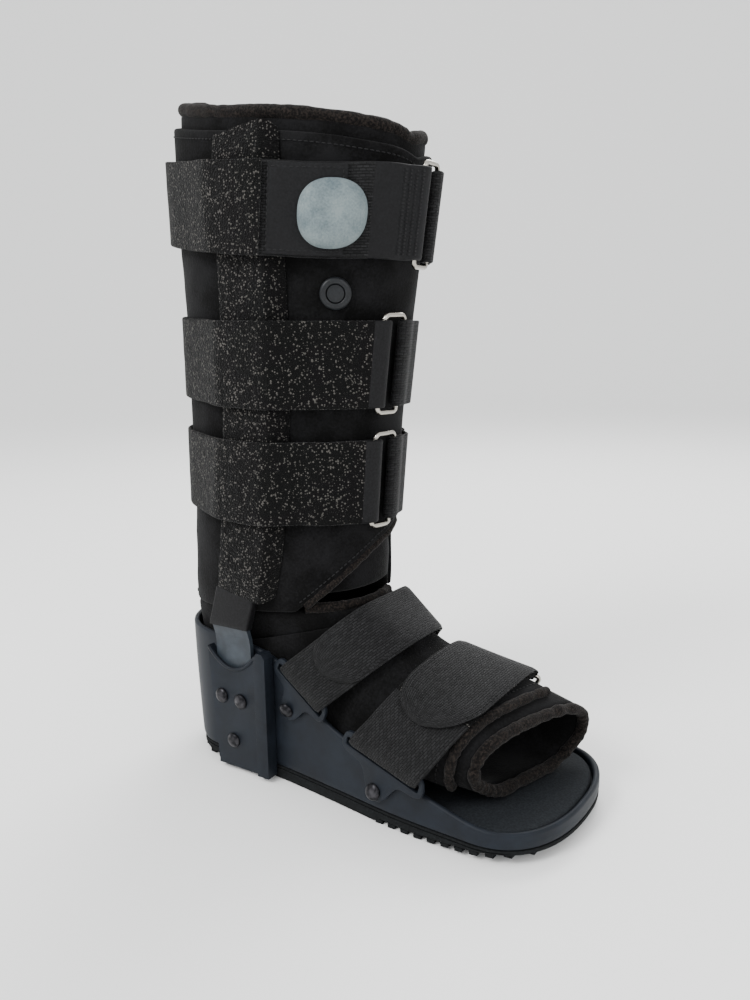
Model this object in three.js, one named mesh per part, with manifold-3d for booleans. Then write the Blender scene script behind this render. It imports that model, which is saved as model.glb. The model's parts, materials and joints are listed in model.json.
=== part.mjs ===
// A tall walking boot for an injured foot: a moulded rocker base with a heel cup, two flat
// uprights, a padded liner for the leg and the foot, and straps that hold them together.
// Millimetres. +X is the toe, -Y the side with the air pump, +Z up. The origin lies on the
// ground under the middle of the sole.

import * as THREE from 'three';
import { mergeVertices } from 'three/addons/utils/BufferGeometryUtils.js';
import Module from 'manifold-3d';

const wasm = await Module();
wasm.setup();

// Clearances
const GAP = 0.3; // between pieces that touch
const SOFT_GAP = 0.6; // between curved layers of cloth

// Base: outsole, shell, insole
const SOLE_HEEL = 142; // origin to the back of the heel
const SOLE_TOE = 143; // origin to the tip of the toe
const HEEL_HALF_WIDTH = 45;
const FORE_HALF_WIDTH = 62;
const TOE_ROUND = 43; // length of the rounded toe
const OUTSOLE_THICK = 9;
const TOE_SPRING = 5;
const HEEL_SPRING = 4;
const LUG_DEPTH = 2.4;
const LUG_PITCH = 9;
const LUG_GROOVE = 3;
const SHELL_WALL = 3.6;
const SHELL_FLOOR = 3;
const HEEL_CUP_HEIGHT = 91;
const TOE_RIM_HEIGHT = 19;
const INSOLE_THICK = 5;
const INSOLE_EDGE = 1.2; // gap between the insole's edge and the rim

// Sockets and uprights
const SOCKET_SETBACK = 46; // from the back of the sole
const SOCKET_LENGTH = 50;
const SOCKET_HEIGHT = 83;
const SOCKET_DIP = 12;
const SOCKET_THICK = 6;
const SOCKET_BOTTOM = 3;
const RIB_WIDTH = 9;
const RIB_RAISE = 2.5;
const RIVET_RADIUS = 5;
const RIVET_HEIGHT = 2.2;
const BAR_WIDTH = 29;
const BAR_THICK = 3;
const BAR_SETBACK = 20; // from the socket's back to the middle of the bar
const BAR_REACH = 33; // the bar's top stands ahead of its foot by this
const BAR_BOTTOM = 12;
const SHEATH_THICK = 1.2;
const SHEATH_BOTTOM = 99;
const COVER_WIDTH = 47;
const COVER_THICK = 3.4;
const COVER_CROWN = 0.9; // rise of the cover's middle over its shoulders
const COVER_BOTTOM = 118;
const COVER_DROP = 37; // from the rim's back down to the cover's top
const COVER_SLANT = 6; // the cover's top is higher at its front by this
const COVER_LEAD = 4; // how far the cover's foot stands ahead of the bar
const BAR_SWEEP = 4; // exponent: how early the bar's forward sweep is done

// Leg
const RIM_HEIGHT = 430; // at the back
const RIM_DIP = 38; // how far the rim sinks at the shin
const HEEL_ROOM = 9; // back of the sole to the back of the leg
const CALF_DEPTH = 85; // half of the calf's depth, front to back
const CALF_WIDTH = 57; // half of its width
const LEG_LAYER = 3.5; // outer layer
const LEG_PAD = 7; // padded inner layer
const LAYER_STEP = 9; // rim of the outer layer below that of the pad
const LAP_ANGLE = 38; // degrees past the shin at which the near flap ends
const HOLE_ANGLE = 62; // degrees that the instep opening reaches round the near side
const HOLE_FAR = 30; // and round the far side
const HOLE_RISE = 9; // height of the instep opening
const FLAP_RISE = 50; // how far the near flap's slanting edge climbs

// Foot
const SEAM_BACK = 104; // height of the seam between leg and foot, at the heel
const SEAM_FRONT = 116; // and at the instep
const INSTEP_REACH = 141; // from the back of the leg to the instep end of the seam
const TOE_BARE = 33; // from the toe opening's top to the tip of the sole
const TOE_SLANT = 14; // the toe opening is cut back by this near, and reaches on far
const FOOT_HALF_WIDTH = 53;
const FOOT_PAD = 6;
const FOOT_FLAP = 3.2;
const FOOT_LAP = 24; // degrees past the top at which the near foot flap ends
const BINDING = 2.4; // radius of the rolled edge binding
const SMALL_BINDING = 1.85; // and of that on the flaps
const BINDING_SIDES = 6;

// Straps
const STRAP_WIDTH = 50;
const PILE_THICK = 2.4;
const WEB_THICK = 1.6;
const RING_WIRE = 1.5; // radius
const RING_WIDTH = 15;
const RING_ROUND = 3; // radius of its corners
const RING_OVER = 1.5; // from the strap's edge to the ring's wire
const WEB_REACH = 76; // from a leg strap's ring to its webbing's sewn end, past the shin
const SEWN_LAP = 22; // length of the band sewn over the webbing

// Leg straps: height at the shin and the rise towards the back, as shares of the rim's
// height, and the ring's place along the strap from the shin
const LEG_STRAPS = [
  { name: 'strap_1', up: 0.805, rise: 0.042, ringAt: -5 },
  { name: 'strap_2', up: 0.612, rise: 0.014, ringAt: 10 },
  { name: 'strap_3', up: 0.4525, rise: 0.009, ringAt: 9 },
];
const BULB_RADIUS = 19.5;
const BULB_HEIGHT = 11;
const BULB_AT = 54; // along the top strap from the shin
const PANEL_PAST_BULB = 18; // from the bulb's rim to the pile layer
const VALVE_RADIUS = 9;
const VALVE_UP = 0.705; // share of the rim's height
const VALVE_ANGLE = -44;

// Foot straps: where the near slot lies, as a share of the way from the socket to the toe and
// above the wall's top, how far it tilts down to the toe, how far the strap leans forward as
// it rises, its width, and where its tab ends as a share of its length
const FOOT_STRAPS = [
  { name: 'strap_4', along: 0.13, above: 1.9, tilt: 32, lean: 48, width: 38, tabAt: 0.11 },
  { name: 'strap_5', along: 0.476, above: 5.2, tilt: 15, lean: 34, width: 50, tabAt: 0.18 },
];
const BRACKET_THICK = 2.6;
const BRACKET_RIM = 4;
const SLOT_HEIGHT = 5.5;
const RIVET_DROP = 19; // bracket's rivet below its slot
const FOOT_RING_AT = 27; // a foot strap's ring from its far slot

const rad = THREE.MathUtils.degToRad;
const lerp = THREE.MathUtils.lerp;
const clamp = THREE.MathUtils.clamp;
const smoothstep = THREE.MathUtils.smoothstep;
const point = (x, y, z) => new THREE.Vector3(x, y, z);

// A smooth curve through one column of a table, against another
function curveOf(rows, from, to) {
  const keys = rows.map((row) => row[from]);
  const curve = new THREE.CubicInterpolant(keys, rows.map((row) => row[to]), 1);
  return (at) => curve.evaluate(clamp(at, keys[0], keys.at(-1)))[0];
}

// count + 1 values from a to b
function steps(a, b, count) {
  return Array.from({ length: count + 1 }, (_, i) => lerp(a, b, i / count));
}

// Closed geometry through rings of points: a tube with flat ends, or, when closed, a loop
function bodyOf(rings, closed = false) {
  const size = rings[0].length;
  const faces = [];
  const last = closed ? rings.length : rings.length - 1;
  for (let i = 0; i < last; i += 1) {
    const here = i * size;
    const next = ((i + 1) % rings.length) * size;
    for (let j = 0; j < size; j += 1) {
      const k = (j + 1) % size;
      faces.push([here + j, here + k, next + k], [here + j, next + k, next + j]);
    }
  }
  if (!closed) {
    faces.push(...endFaces(rings[0]).map(([a, b, c]) => [c, b, a]));
    const top = (rings.length - 1) * size;
    faces.push(...endFaces(rings.at(-1)).map((face) => face.map((i) => i + top)));
  }
  const points = rings.flat();
  let volume = 0;
  for (const [a, b, c] of faces) {
    volume += points[a].dot(new THREE.Vector3().crossVectors(points[b], points[c]));
  }
  const turned = volume < 0 ? faces.map(([a, b, c]) => [c, b, a]) : faces;
  const geometry = new THREE.BufferGeometry().setFromPoints(points);
  geometry.setIndex(turned.flat());
  return geometry;
}

// Triangles that fill a ring, in the ring's own direction
function endFaces(ring) {
  const normal = point(0, 0, 0);
  ring.forEach((p, i) => {
    normal.add(new THREE.Vector3().crossVectors(p, ring[(i + 1) % ring.length]));
  });
  normal.normalize();
  const side = Math.abs(normal.z) < 0.9 ? point(0, 0, 1) : point(1, 0, 0);
  const u = new THREE.Vector3().crossVectors(side, normal).normalize();
  const v = new THREE.Vector3().crossVectors(normal, u);
  const flat = ring.map((p) => new THREE.Vector2(p.dot(u), p.dot(v)));
  return THREE.ShapeUtils.triangulateShape(flat, []).map(([a, b, c]) => {
    const area = THREE.ShapeUtils.area([flat[a], flat[b], flat[c]]);
    return area > 0 ? [a, b, c] : [a, c, b];
  });
}

// Solids for joining and cutting, and back
function solidOf(geometry) {
  const bare = geometry.clone();
  bare.deleteAttribute('normal');
  bare.deleteAttribute('uv');
  const merged = mergeVertices(bare, 1e-4);
  return new wasm.Manifold(new wasm.Mesh({
    numProp: 3,
    vertProperties: Float32Array.from(merged.attributes.position.array),
    triVerts: Uint32Array.from(merged.index.array),
  }));
}

function geometryOf(solid) {
  const mesh = solid.getMesh();
  const geometry = new THREE.BufferGeometry();
  geometry.setAttribute('position', new THREE.BufferAttribute(mesh.vertProperties, 3));
  geometry.setIndex(new THREE.BufferAttribute(mesh.triVerts, 1));
  return geometry;
}

function cut(geometry, ...tools) {
  return geometryOf(tools.reduce((solid, tool) => solid.subtract(solidOf(tool)), solidOf(geometry)));
}

function join(geometry, ...others) {
  return geometryOf(others.reduce((solid, other) => solid.add(solidOf(other)), solidOf(geometry)));
}

// A plate drawn as a shape in X and Z, standing on edge, from y to y + depth
function standing(shape, y, depth) {
  const plate = new THREE.ExtrudeGeometry(shape, { depth, bevelEnabled: false });
  return plate.rotateX(Math.PI / 2).translate(0, y + depth, 0);
}

function shapeOf(points) {
  return new THREE.Shape(points.map(([x, y]) => new THREE.Vector2(x, y)));
}

// A rod of round section along points, closed into a loop or with flat ends
function rodOf(points, radius, sides, closed) {
  const rings = points.map((p, i) => {
    const count = points.length;
    const before = closed ? points[(i - 1 + count) % count] : points[Math.max(i - 1, 0)];
    const after = closed ? points[(i + 1) % count] : points[Math.min(i + 1, count - 1)];
    const along = after.clone().sub(before).normalize();
    const side = new THREE.Vector3().crossVectors(along, point(0.13, 0.21, 1)).normalize();
    const up = new THREE.Vector3().crossVectors(side, along);
    return steps(0, 2 * Math.PI, sides).slice(0, sides).map((turn) => p.clone()
      .addScaledVector(side, radius * Math.cos(turn))
      .addScaledVector(up, radius * Math.sin(turn)));
  });
  return bodyOf(rings, closed);
}

// Base outline

const HEEL_CENTRE = HEEL_HALF_WIDTH - SOLE_HEEL;
const TOE_START = SOLE_TOE - TOE_ROUND;

const baseWidths = [
  { along: 0, width: HEEL_HALF_WIDTH / FORE_HALF_WIDTH },
  { along: 0.25, width: 0.75 },
  { along: 0.5, width: 0.845 },
  { along: 0.75, width: 0.955 },
  { along: 1, width: 1 },
];
const baseWidthShare = curveOf(baseWidths, 'along', 'width');

function baseHalfWidth(x) {
  const along = (x - HEEL_CENTRE) / (TOE_START - HEEL_CENTRE);
  return FORE_HALF_WIDTH * baseWidthShare(along);
}

// One side of the outline from the heel to the toe, moved in by inset
function baseSide(inset) {
  const heel = steps(180, 90, 6).map((a) => [
    HEEL_CENTRE + (HEEL_HALF_WIDTH - inset) * Math.cos(rad(a)),
    (HEEL_HALF_WIDTH - inset) * Math.sin(rad(a)),
  ]);
  const side = steps(HEEL_CENTRE, TOE_START, 7).slice(1, -1);
  const toe = steps(90, 0, 8).map((a) => [
    TOE_START + (TOE_ROUND - inset) * Math.cos(rad(a)) ** 0.84,
    (FORE_HALF_WIDTH - inset) * Math.sin(rad(a)) ** 0.84,
  ]);
  return [...heel, ...side.map((x) => [x, baseHalfWidth(x) - inset]), ...toe];
}

function baseOutline(inset) {
  const side = baseSide(inset);
  const mirrored = side.slice(1, -1).reverse().map(([x, y]) => [x, -y]);
  return [...side, ...mirrored];
}

// Base shell

const SHELL_BOTTOM = OUTSOLE_THICK + GAP;
const FLOOR_TOP = SHELL_BOTTOM + SHELL_FLOOR;
const INSOLE_BOTTOM = FLOOR_TOP + GAP;
const INSOLE_TOP = INSOLE_BOTTOM + INSOLE_THICK;

// Height of the wall's top edge, as a share from the toe rim to the heel cup
const wallHeights = [
  { along: 0, up: 1 },
  { along: 0.17, up: 0.97 },
  { along: 0.34, up: 0.86 },
  { along: 0.42, up: 0.66 },
  { along: 0.49, up: 0.44 },
  { along: 0.55, up: 0.35 },
  { along: 0.76, up: 0.11 },
  { along: 0.84, up: 0.03 },
  { along: 0.9, up: 0 },
  { along: 1, up: 0 },
];
const wallShare = curveOf(wallHeights, 'along', 'up');

function wallTop(x) {
  const along = (x + SOLE_HEEL) / (SOLE_HEEL + SOLE_TOE);
  return lerp(TOE_RIM_HEIGHT, HEEL_CUP_HEIGHT, Math.max(0, wallShare(along)));
}

// The back of the heel is drawn in towards the ground
const heelTuck = (x, share) => 6 * share * smoothstep(HEEL_CENTRE - x, 0, HEEL_HALF_WIDTH);

function baseShell() {
  const ring = (inset, height, tuck) => baseOutline(inset)
    .map(([x, y]) => point(x + heelTuck(x, tuck), y, height(x)));
  const low = SHELL_BOTTOM + (TOE_RIM_HEIGHT - SHELL_BOTTOM) / 2;
  return bodyOf([
    ring(0.6, () => SHELL_BOTTOM, 0.9),
    ring(0, () => low, 0.7),
    ring(0, (x) => lerp(low, wallTop(x), 0.4), 0.1),
    ring(0, wallTop, 0),
    ring(SHELL_WALL, wallTop, 0),
    ring(SHELL_WALL, () => FLOOR_TOP, 0.5),
  ]);
}

// Outsole: a side profile with lugs, within the base outline

function groundAt(x) {
  const toe = smoothstep(x, SOLE_TOE * 0.4, SOLE_TOE) * TOE_SPRING;
  const heel = smoothstep(-x, SOLE_HEEL * 0.7, SOLE_HEEL) * HEEL_SPRING;
  return toe + heel;
}

function lugProfile(from, to) {
  const count = Math.floor(Math.abs(to - from) / LUG_PITCH);
  const turn = Math.sign(to - from);
  const profile = [];
  for (let i = 0; i < count; i += 1) {
    const x = from + turn * i * LUG_PITCH;
    const groove = x + turn * (LUG_PITCH - LUG_GROOVE);
    const end = x + turn * LUG_PITCH;
    profile.push([x, groundAt(x)], [groove, groundAt(groove)]);
    profile.push([groove, groundAt(groove) + LUG_DEPTH], [end, groundAt(end) + LUG_DEPTH]);
  }
  return profile;
}

function outsole() {
  const back = lugProfile(-SOLE_HEEL * 0.35, -SOLE_HEEL + LUG_GROOVE);
  const front = lugProfile(SOLE_TOE * 0.25, SOLE_TOE - LUG_GROOVE);
  const profile = shapeOf([
    [-SOLE_HEEL - 1, OUTSOLE_THICK], [-SOLE_HEEL - 1, groundAt(-SOLE_HEEL)],
    ...back.reverse(), ...front,
    [SOLE_TOE + 1, groundAt(SOLE_TOE)], [SOLE_TOE + 1, OUTSOLE_THICK],
  ]);
  const slab = standing(profile, -FORE_HALF_WIDTH - 1, 2 * FORE_HALF_WIDTH + 2);
  const outline = shapeOf(baseOutline(0.3).map(([x, y]) => [x + heelTuck(x, 1), y]));
  const block = new THREE.ExtrudeGeometry(outline, { depth: OUTSOLE_THICK, bevelEnabled: false });
  return geometryOf(solidOf(slab).intersect(solidOf(block)));
}

function insole() {
  const ring = (inset, z) => baseOutline(SHELL_WALL + INSOLE_EDGE + inset)
    .map(([x, y]) => point(x + heelTuck(x, 0.5), y, z));
  return bodyOf([
    ring(0, INSOLE_BOTTOM), ring(0, INSOLE_TOP - 1.5), ring(1.5, INSOLE_TOP),
  ]);
}

// Leg form: half depth, half width and back line, as shares, against the height share

const legSections = [
  { up: 0.222, depth: 0.832, width: 0.86, back: 0.031 },
  { up: 0.278, depth: 0.836, width: 0.88, back: 0.022 },
  { up: 0.398, depth: 0.827, width: 0.9, back: -0.002 },
  { up: 0.537, depth: 0.85, width: 0.93, back: -0.016 },
  { up: 0.694, depth: 0.9, width: 0.965, back: -0.02 },
  { up: 0.815, depth: 0.97, width: 0.985, back: 0 },
  { up: 0.926, depth: 1, width: 1, back: 0 },
  { up: 1, depth: 1.01, width: 1, back: 0 },
];
const legShare = {
  depth: curveOf(legSections, 'up', 'depth'),
  width: curveOf(legSections, 'up', 'width'),
  back: curveOf(legSections, 'up', 'back'),
};
const LEG_ROUND = 2.3; // exponent of the leg's section: 2 is an ellipse
const LEG_BACK = HEEL_ROOM - SOLE_HEEL;
const INSTEP_X = LEG_BACK + INSTEP_REACH;

const legDepth = (z) => CALF_DEPTH * legShare.depth(z / RIM_HEIGHT);
const legWidth = (z) => CALF_WIDTH * legShare.width(z / RIM_HEIGHT);
const legMiddle = (z) => LEG_BACK * (1 + legShare.back(z / RIM_HEIGHT)) + legDepth(z);

const rounded = (value, power) => Math.sign(value) * Math.abs(value) ** (2 / power);

// A point on the leg's section, moved in by inset; angle 0 is the shin, -90 the near side
function legPoint(angle, z, inset = 0) {
  const c = rounded(Math.cos(rad(angle)), LEG_ROUND);
  const s = rounded(Math.sin(rad(angle)), LEG_ROUND);
  return point(legMiddle(z) + (legDepth(z) - inset) * c, (legWidth(z) - inset) * s, z);
}

// Half width of the leg at a given x
function legSide(x, z) {
  const across = clamp(Math.abs(x - legMiddle(z)) / legDepth(z), 0, 1);
  return legWidth(z) * (1 - across ** LEG_ROUND) ** (1 / LEG_ROUND);
}

// How far the rim lies below its back, as a share of the dip, from the shin round to the back
const rimLine = [
  { turn: 0, down: 1 },
  { turn: 0.05, down: 0.93 },
  { turn: 0.2, down: 0.84 },
  { turn: 0.5, down: 0.57 },
  { turn: 0.8, down: 0.22 },
  { turn: 1, down: 0 },
];
const rimShare = curveOf(rimLine, 'turn', 'down');
const rimDip = (angle) => RIM_DIP * rimShare(Math.abs(angle) / 180);
const heelX = LEG_BACK * 1.03; // back of the liner at the heel
const seamAt = (x) => lerp(SEAM_BACK, SEAM_FRONT, clamp((x - heelX) / (INSTEP_X - heelX), 0, 1));

// Lower edge of the pad: the seam, raised over the instep opening
function padBottom(angle) {
  const seam = seamAt(legPoint(angle, SEAM_BACK).x);
  const past = angle < 0 ? -angle / HOLE_ANGLE : angle / HOLE_FAR;
  return seam + 1.5 * SOFT_GAP + HOLE_RISE * (1 - smoothstep(past, 0.75, 1));
}

// Lower edge of the outer layer: the near flap is cut off slanting, the far side is not
function layerBottom(angle) {
  const seam = seamAt(legPoint(angle, SEAM_BACK).x) + SOFT_GAP;
  if (angle > LAP_ANGLE || angle < -HOLE_ANGLE) return seam;
  const share = (angle + HOLE_ANGLE) / (LAP_ANGLE + HOLE_ANGLE);
  return seam + FLAP_RISE * (1 - (1 - share) ** 1.7);
}

// An edge's height for an angle that has gone on past the back
const folded = (height) => (angle) => height(angle < -180 ? angle + 360 : angle);
const LAP_SLIT = 4; // degrees left open where the outer layer's edges meet

// A wall that goes round the leg, from its lower to its upper edge
function legWall(angles, bottom, top, inset, thick, levels, closed) {
  return bodyOf(angles.map((angle) => {
    const heights = steps(bottom(angle), top(angle), levels);
    const outer = heights.map((z) => legPoint(angle, z, inset));
    const inner = heights.map((z) => legPoint(angle, z, inset + thick)).reverse();
    return [...outer, ...inner];
  }), closed);
}

const PAD_INSET = LEG_LAYER + SOFT_GAP;
const LEG_FACETS = 32;
const padTop = (angle) => RIM_HEIGHT - 2 * BINDING - 1.5 * SOFT_GAP - rimDip(angle);
const layerTop = (angle) => padTop(angle) - LAYER_STEP;

function legPad() {
  const turns = steps(LAP_ANGLE, LAP_ANGLE - 360, LEG_FACETS).slice(0, -1);
  return legWall(turns, folded(padBottom), folded(padTop), PAD_INSET, LEG_PAD, 8, true);
}

// The outer layer starts at the near flap's edge and goes round the back to the far side
function legLayer() {
  const turns = steps(LAP_ANGLE, LAP_ANGLE - 360, LEG_FACETS);
  turns[LEG_FACETS] += LAP_SLIT;
  return legWall(turns, folded(layerBottom), folded(layerTop), 0, LEG_LAYER, 8, false);
}

function rimBinding() {
  const middle = PAD_INSET + LEG_PAD / 2;
  return rodOf(steps(LAP_ANGLE, LAP_ANGLE - 360, LEG_FACETS).slice(0, -1).map((angle) => (
    legPoint(angle, folded(padTop)(angle) + 1.5 * SOFT_GAP + BINDING, middle)
  )), BINDING, BINDING_SIDES, true);
}

function flapBinding() {
  return rodOf(steps(-HOLE_ANGLE + 6, LAP_ANGLE, 12).map((angle) => {
    const z = layerBottom(angle) - SOFT_GAP - SMALL_BINDING;
    return legPoint(angle, z, LEG_LAYER / 2 - SOFT_GAP);
  }), SMALL_BINDING, BINDING_SIDES, false);
}

// Foot form: each row is a ring from a point on the instep to one under the sole

const FOOT_FLOOR = INSOLE_TOP + GAP;
const footRings = [
  { at: 0, topX: 1, topUp: 1, lowX: 1, lowUp: 1, width: 0.925 },
  { at: 1, topX: 1.9, topUp: 0.95, lowX: 1, lowUp: 0.59, width: 0.79 },
  { at: 2, topX: 2.75, topUp: 0.9, lowX: 0.956, lowUp: 0.2, width: 0.775 },
  { at: 3, topX: 3.6, topUp: 0.845, lowX: 0.832, lowUp: 0, width: 0.775 },
  { at: 4, topX: 4.5, topUp: 0.79, lowX: 0.613, lowUp: 0, width: 0.79 },
  { at: 5, topX: 5.75, topUp: 0.73, lowX: 0.336, lowUp: 0, width: 0.835 },
  { at: 6, topX: 7.5, topUp: 0.68, lowX: 0.015, lowUp: 0, width: 0.895 },
  { at: 7, topX: 9.6, topUp: 0.63, lowX: -0.307, lowUp: 0, width: 0.955 },
  { at: 8, topX: 11.9, topUp: 0.565, lowX: -0.569, lowUp: 0, width: 1 },
  { at: 9, topX: 14, topUp: 0.5, lowX: -0.759, lowUp: 0, width: 0.985 },
];
const footCurve = Object.fromEntries(['topX', 'topUp', 'lowX', 'lowUp', 'width']
  .map((column) => [column, curveOf(footRings, 'at', column)]));
const FOOT_ROUND = 2.5; // exponent of the foot's section
const FOOT_FACETS = 30;
const FOOT_STEPS = 9;
const TOE_RING = footRings.at(-1).at;
const FLAP_END = 8.4; // ring at which the near foot flap ends
const FLAP_START = -120; // degrees from the instep to its lower edge

// A point on the foot; angle 0 is the instep, -90 the near side, 180 the sole
function footPoint(at, angle, inset = 0) {
  const forward = (SOLE_TOE - TOE_BARE - INSTEP_X) / (footRings.at(-1).topX - 1);
  const topX = INSTEP_X + forward * (footCurve.topX(at) - 1);
  const top = point(topX, 0, lerp(FOOT_FLOOR, SEAM_FRONT, footCurve.topUp(at)));
  const low = point(heelX * footCurve.lowX(at), 0, lerp(FOOT_FLOOR, SEAM_BACK, footCurve.lowUp(at)));
  const middle = top.clone().add(low).multiplyScalar(0.5);
  const half = top.clone().sub(low).multiplyScalar(0.5);
  const reach = half.length();
  half.multiplyScalar((reach - inset) / reach);
  const c = rounded(Math.cos(rad(angle)), FOOT_ROUND);
  const s = rounded(Math.sin(rad(angle)), FOOT_ROUND);
  const p = middle.addScaledVector(half, c);
  p.y = (FOOT_HALF_WIDTH * footCurve.width(at) - inset) * s;
  p.x += TOE_SLANT * s * smoothstep(at, TOE_RING / 2, TOE_RING);
  p.z = Math.max(p.z, FOOT_FLOOR + inset);
  return p;
}

// A point of the pad, which lies inside the flap but reaches down to the insole
function padPoint(at, angle, inset) {
  const flapRoom = (FOOT_FLAP + SOFT_GAP) * (1 - smoothstep(Math.abs(angle), -FLAP_START, 165));
  return footPoint(at, angle, flapRoom + inset);
}

const footTurns = steps(-180, 180, FOOT_FACETS).slice(0, -1);

function footPad() {
  return bodyOf(footTurns.map((angle) => {
    const outer = steps(0, TOE_RING, FOOT_STEPS).map((at) => padPoint(at, angle, 0));
    const inner = steps(0, TOE_RING, FOOT_STEPS).map((at) => padPoint(at, angle, FOOT_PAD));
    return [...outer, ...inner.reverse()];
  }), true);
}

// The near flap lies over the pad, from low on the near side to past the instep
const flapTurns = steps(FLAP_START, FOOT_LAP, 12);

function footFlap() {
  return bodyOf([...steps(1, 8, 7), FLAP_END].map((at) => {
    const outer = flapTurns.map((angle) => footPoint(at, angle, 0));
    const inner = flapTurns.map((angle) => footPoint(at, angle, FOOT_FLAP));
    return [...outer, ...inner.reverse()];
  }));
}

// A rolled binding just past the toe edge of a layer, whose middle is given by edgeAt
function toeBinding(edgeAt, at, angles, radius, closed) {
  return rodOf(angles.map((angle) => {
    const edge = edgeAt(at, angle);
    const out = edge.clone().sub(edgeAt(at - 0.2, angle)).normalize();
    const p = edge.addScaledVector(out, radius + GAP + SOFT_GAP);
    p.z = Math.max(p.z, FOOT_FLOOR + radius);
    return p;
  }), radius, BINDING_SIDES, closed);
}

const padMiddle = (at, angle) => padPoint(at, angle, FOOT_PAD / 2);
const flapMiddle = (at, angle) => footPoint(at, angle, FOOT_FLAP / 2);

// Along the front of the foot's upper rim, in the instep opening
function instepBinding() {
  return rodOf(steps(-HOLE_ANGLE * 0.7, HOLE_FAR * 0.7, 8).map((angle) => {
    const p = padMiddle(0, angle);
    return p.setZ(p.z + SOFT_GAP + BINDING);
  }), BINDING, BINDING_SIDES, false);
}

// Sockets, rivets and uprights; side is -1 on the near side and 1 on the far side

const SOCKET_BACK = SOCKET_SETBACK - SOLE_HEEL;
const SOCKET_FRONT = SOCKET_BACK + SOCKET_LENGTH;
const BAR_FOOT_X = SOCKET_BACK + BAR_SETBACK;
const BAR_TOP_X = BAR_FOOT_X + BAR_REACH;
const SOCKET_Y = HEEL_HALF_WIDTH * 1.045 + GAP; // inner face of the socket
const BAR_Y = SOCKET_Y + GAP;

function socket(side) {
  const middle = (SOCKET_BACK + SOCKET_FRONT - RIB_WIDTH) / 2;
  const rib = SOCKET_FRONT - RIB_WIDTH;
  const dip = new THREE.QuadraticBezierCurve(
    new THREE.Vector2(rib, SOCKET_HEIGHT),
    new THREE.Vector2(middle, SOCKET_HEIGHT - 2 * SOCKET_DIP),
    new THREE.Vector2(SOCKET_BACK, SOCKET_HEIGHT),
  ).getPoints(8).map((p) => [p.x, p.y]);
  const panel = shapeOf([
    [SOCKET_BACK + 6, SOCKET_BOTTOM], [SOCKET_FRONT, SOCKET_BOTTOM], [SOCKET_FRONT, SOCKET_HEIGHT],
    ...dip,
  ]);
  const ribShape = shapeOf([
    [rib, SOCKET_BOTTOM], [SOCKET_FRONT, SOCKET_BOTTOM], [SOCKET_FRONT, SOCKET_HEIGHT],
    [SOCKET_FRONT - RIB_WIDTH * 0.25, SOCKET_HEIGHT + 3], [rib + RIB_WIDTH * 0.25, SOCKET_HEIGHT + 3],
    [rib, SOCKET_HEIGHT - 1],
  ]);
  const channel = new THREE.BoxGeometry(BAR_WIDTH + 2 * GAP, BAR_THICK + 3 * GAP, SOCKET_HEIGHT)
    .translate(BAR_FOOT_X, SOCKET_Y + (BAR_THICK + GAP) / 2, BAR_BOTTOM - GAP + SOCKET_HEIGHT / 2);
  const body = cut(
    join(standing(panel, SOCKET_Y, SOCKET_THICK), standing(ribShape, SOCKET_Y, SOCKET_THICK + RIB_RAISE)),
    channel,
  );
  return side < 0 ? mirrored(body) : body;
}

// The far side's twin
function mirrored(geometry) {
  const copy = geometry.clone().scale(1, -1, 1);
  const index = copy.index.array;
  for (let i = 0; i < index.length; i += 3) {
    [index[i], index[i + 2]] = [index[i + 2], index[i]];
  }
  return copy;
}

function rivet() {
  const profile = [[0, 0], [RIVET_RADIUS, 0], [RIVET_RADIUS * 0.94, RIVET_HEIGHT * 0.5],
    [RIVET_RADIUS * 0.6, RIVET_HEIGHT * 0.93], [0, RIVET_HEIGHT]];
  return new THREE.LatheGeometry(profile.map(([x, y]) => new THREE.Vector2(x, y)), 8);
}

// Middle of the bar, and its inner face, at a height
const barRise = (z) => clamp((z - SHEATH_BOTTOM) / (RIM_HEIGHT - SHEATH_BOTTOM), 0, 1);
const barX = (z) => lerp(BAR_FOOT_X, BAR_TOP_X, 1 - (1 - barRise(z)) ** BAR_SWEEP);
const COVER_TOP = RIM_HEIGHT - COVER_DROP;
const coverHeights = steps(COVER_BOTTOM, COVER_TOP, 10);
const BAR_OFF = SHEATH_THICK + GAP + SOFT_GAP; // between the liner and the bar
const barY = (z) => lerp(BAR_Y, legWidth(z) + BAR_OFF, smoothstep(z, HEEL_CUP_HEIGHT - 4, SEAM_BACK));

function barRing(z, side, grow = 0) {
  const half = BAR_WIDTH / 2 + grow;
  const x = barX(z);
  const inner = side * (barY(z) - grow);
  const outer = side * (barY(z) + BAR_THICK + grow);
  return [point(x - half, inner, z), point(x + half, inner, z), point(x + half, outer, z),
    point(x - half, outer, z)];
}

function upright(side) {
  const foot = [BAR_BOTTOM, HEEL_CUP_HEIGHT - 4, HEEL_CUP_HEIGHT + 1, SHEATH_BOTTOM, SEAM_BACK];
  const heights = [...foot, ...coverHeights.slice(0, -1), COVER_TOP - 16];
  return bodyOf(heights.map((z) => barRing(z, side)));
}

function sheath(side) {
  const heights = steps(SHEATH_BOTTOM, COVER_BOTTOM - GAP, 3);
  const corners = [0, 1, 2, 3];
  return bodyOf(corners.map((corner) => {
    const outer = heights.map((z) => barRing(z, side, GAP + SHEATH_THICK)[corner]);
    const inner = heights.map((z) => barRing(z, side, GAP)[corner]).reverse();
    return [...outer, ...inner];
  }), true);
}

// Middle of the cover: ahead of the bar at its foot, and over it from a quarter of the way up
const coverLead = (z) => 1 - smoothstep(z, COVER_BOTTOM, lerp(COVER_BOTTOM, COVER_TOP, 0.3));
const coverX = (z) => barX(z) + COVER_LEAD * coverLead(z);

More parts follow.
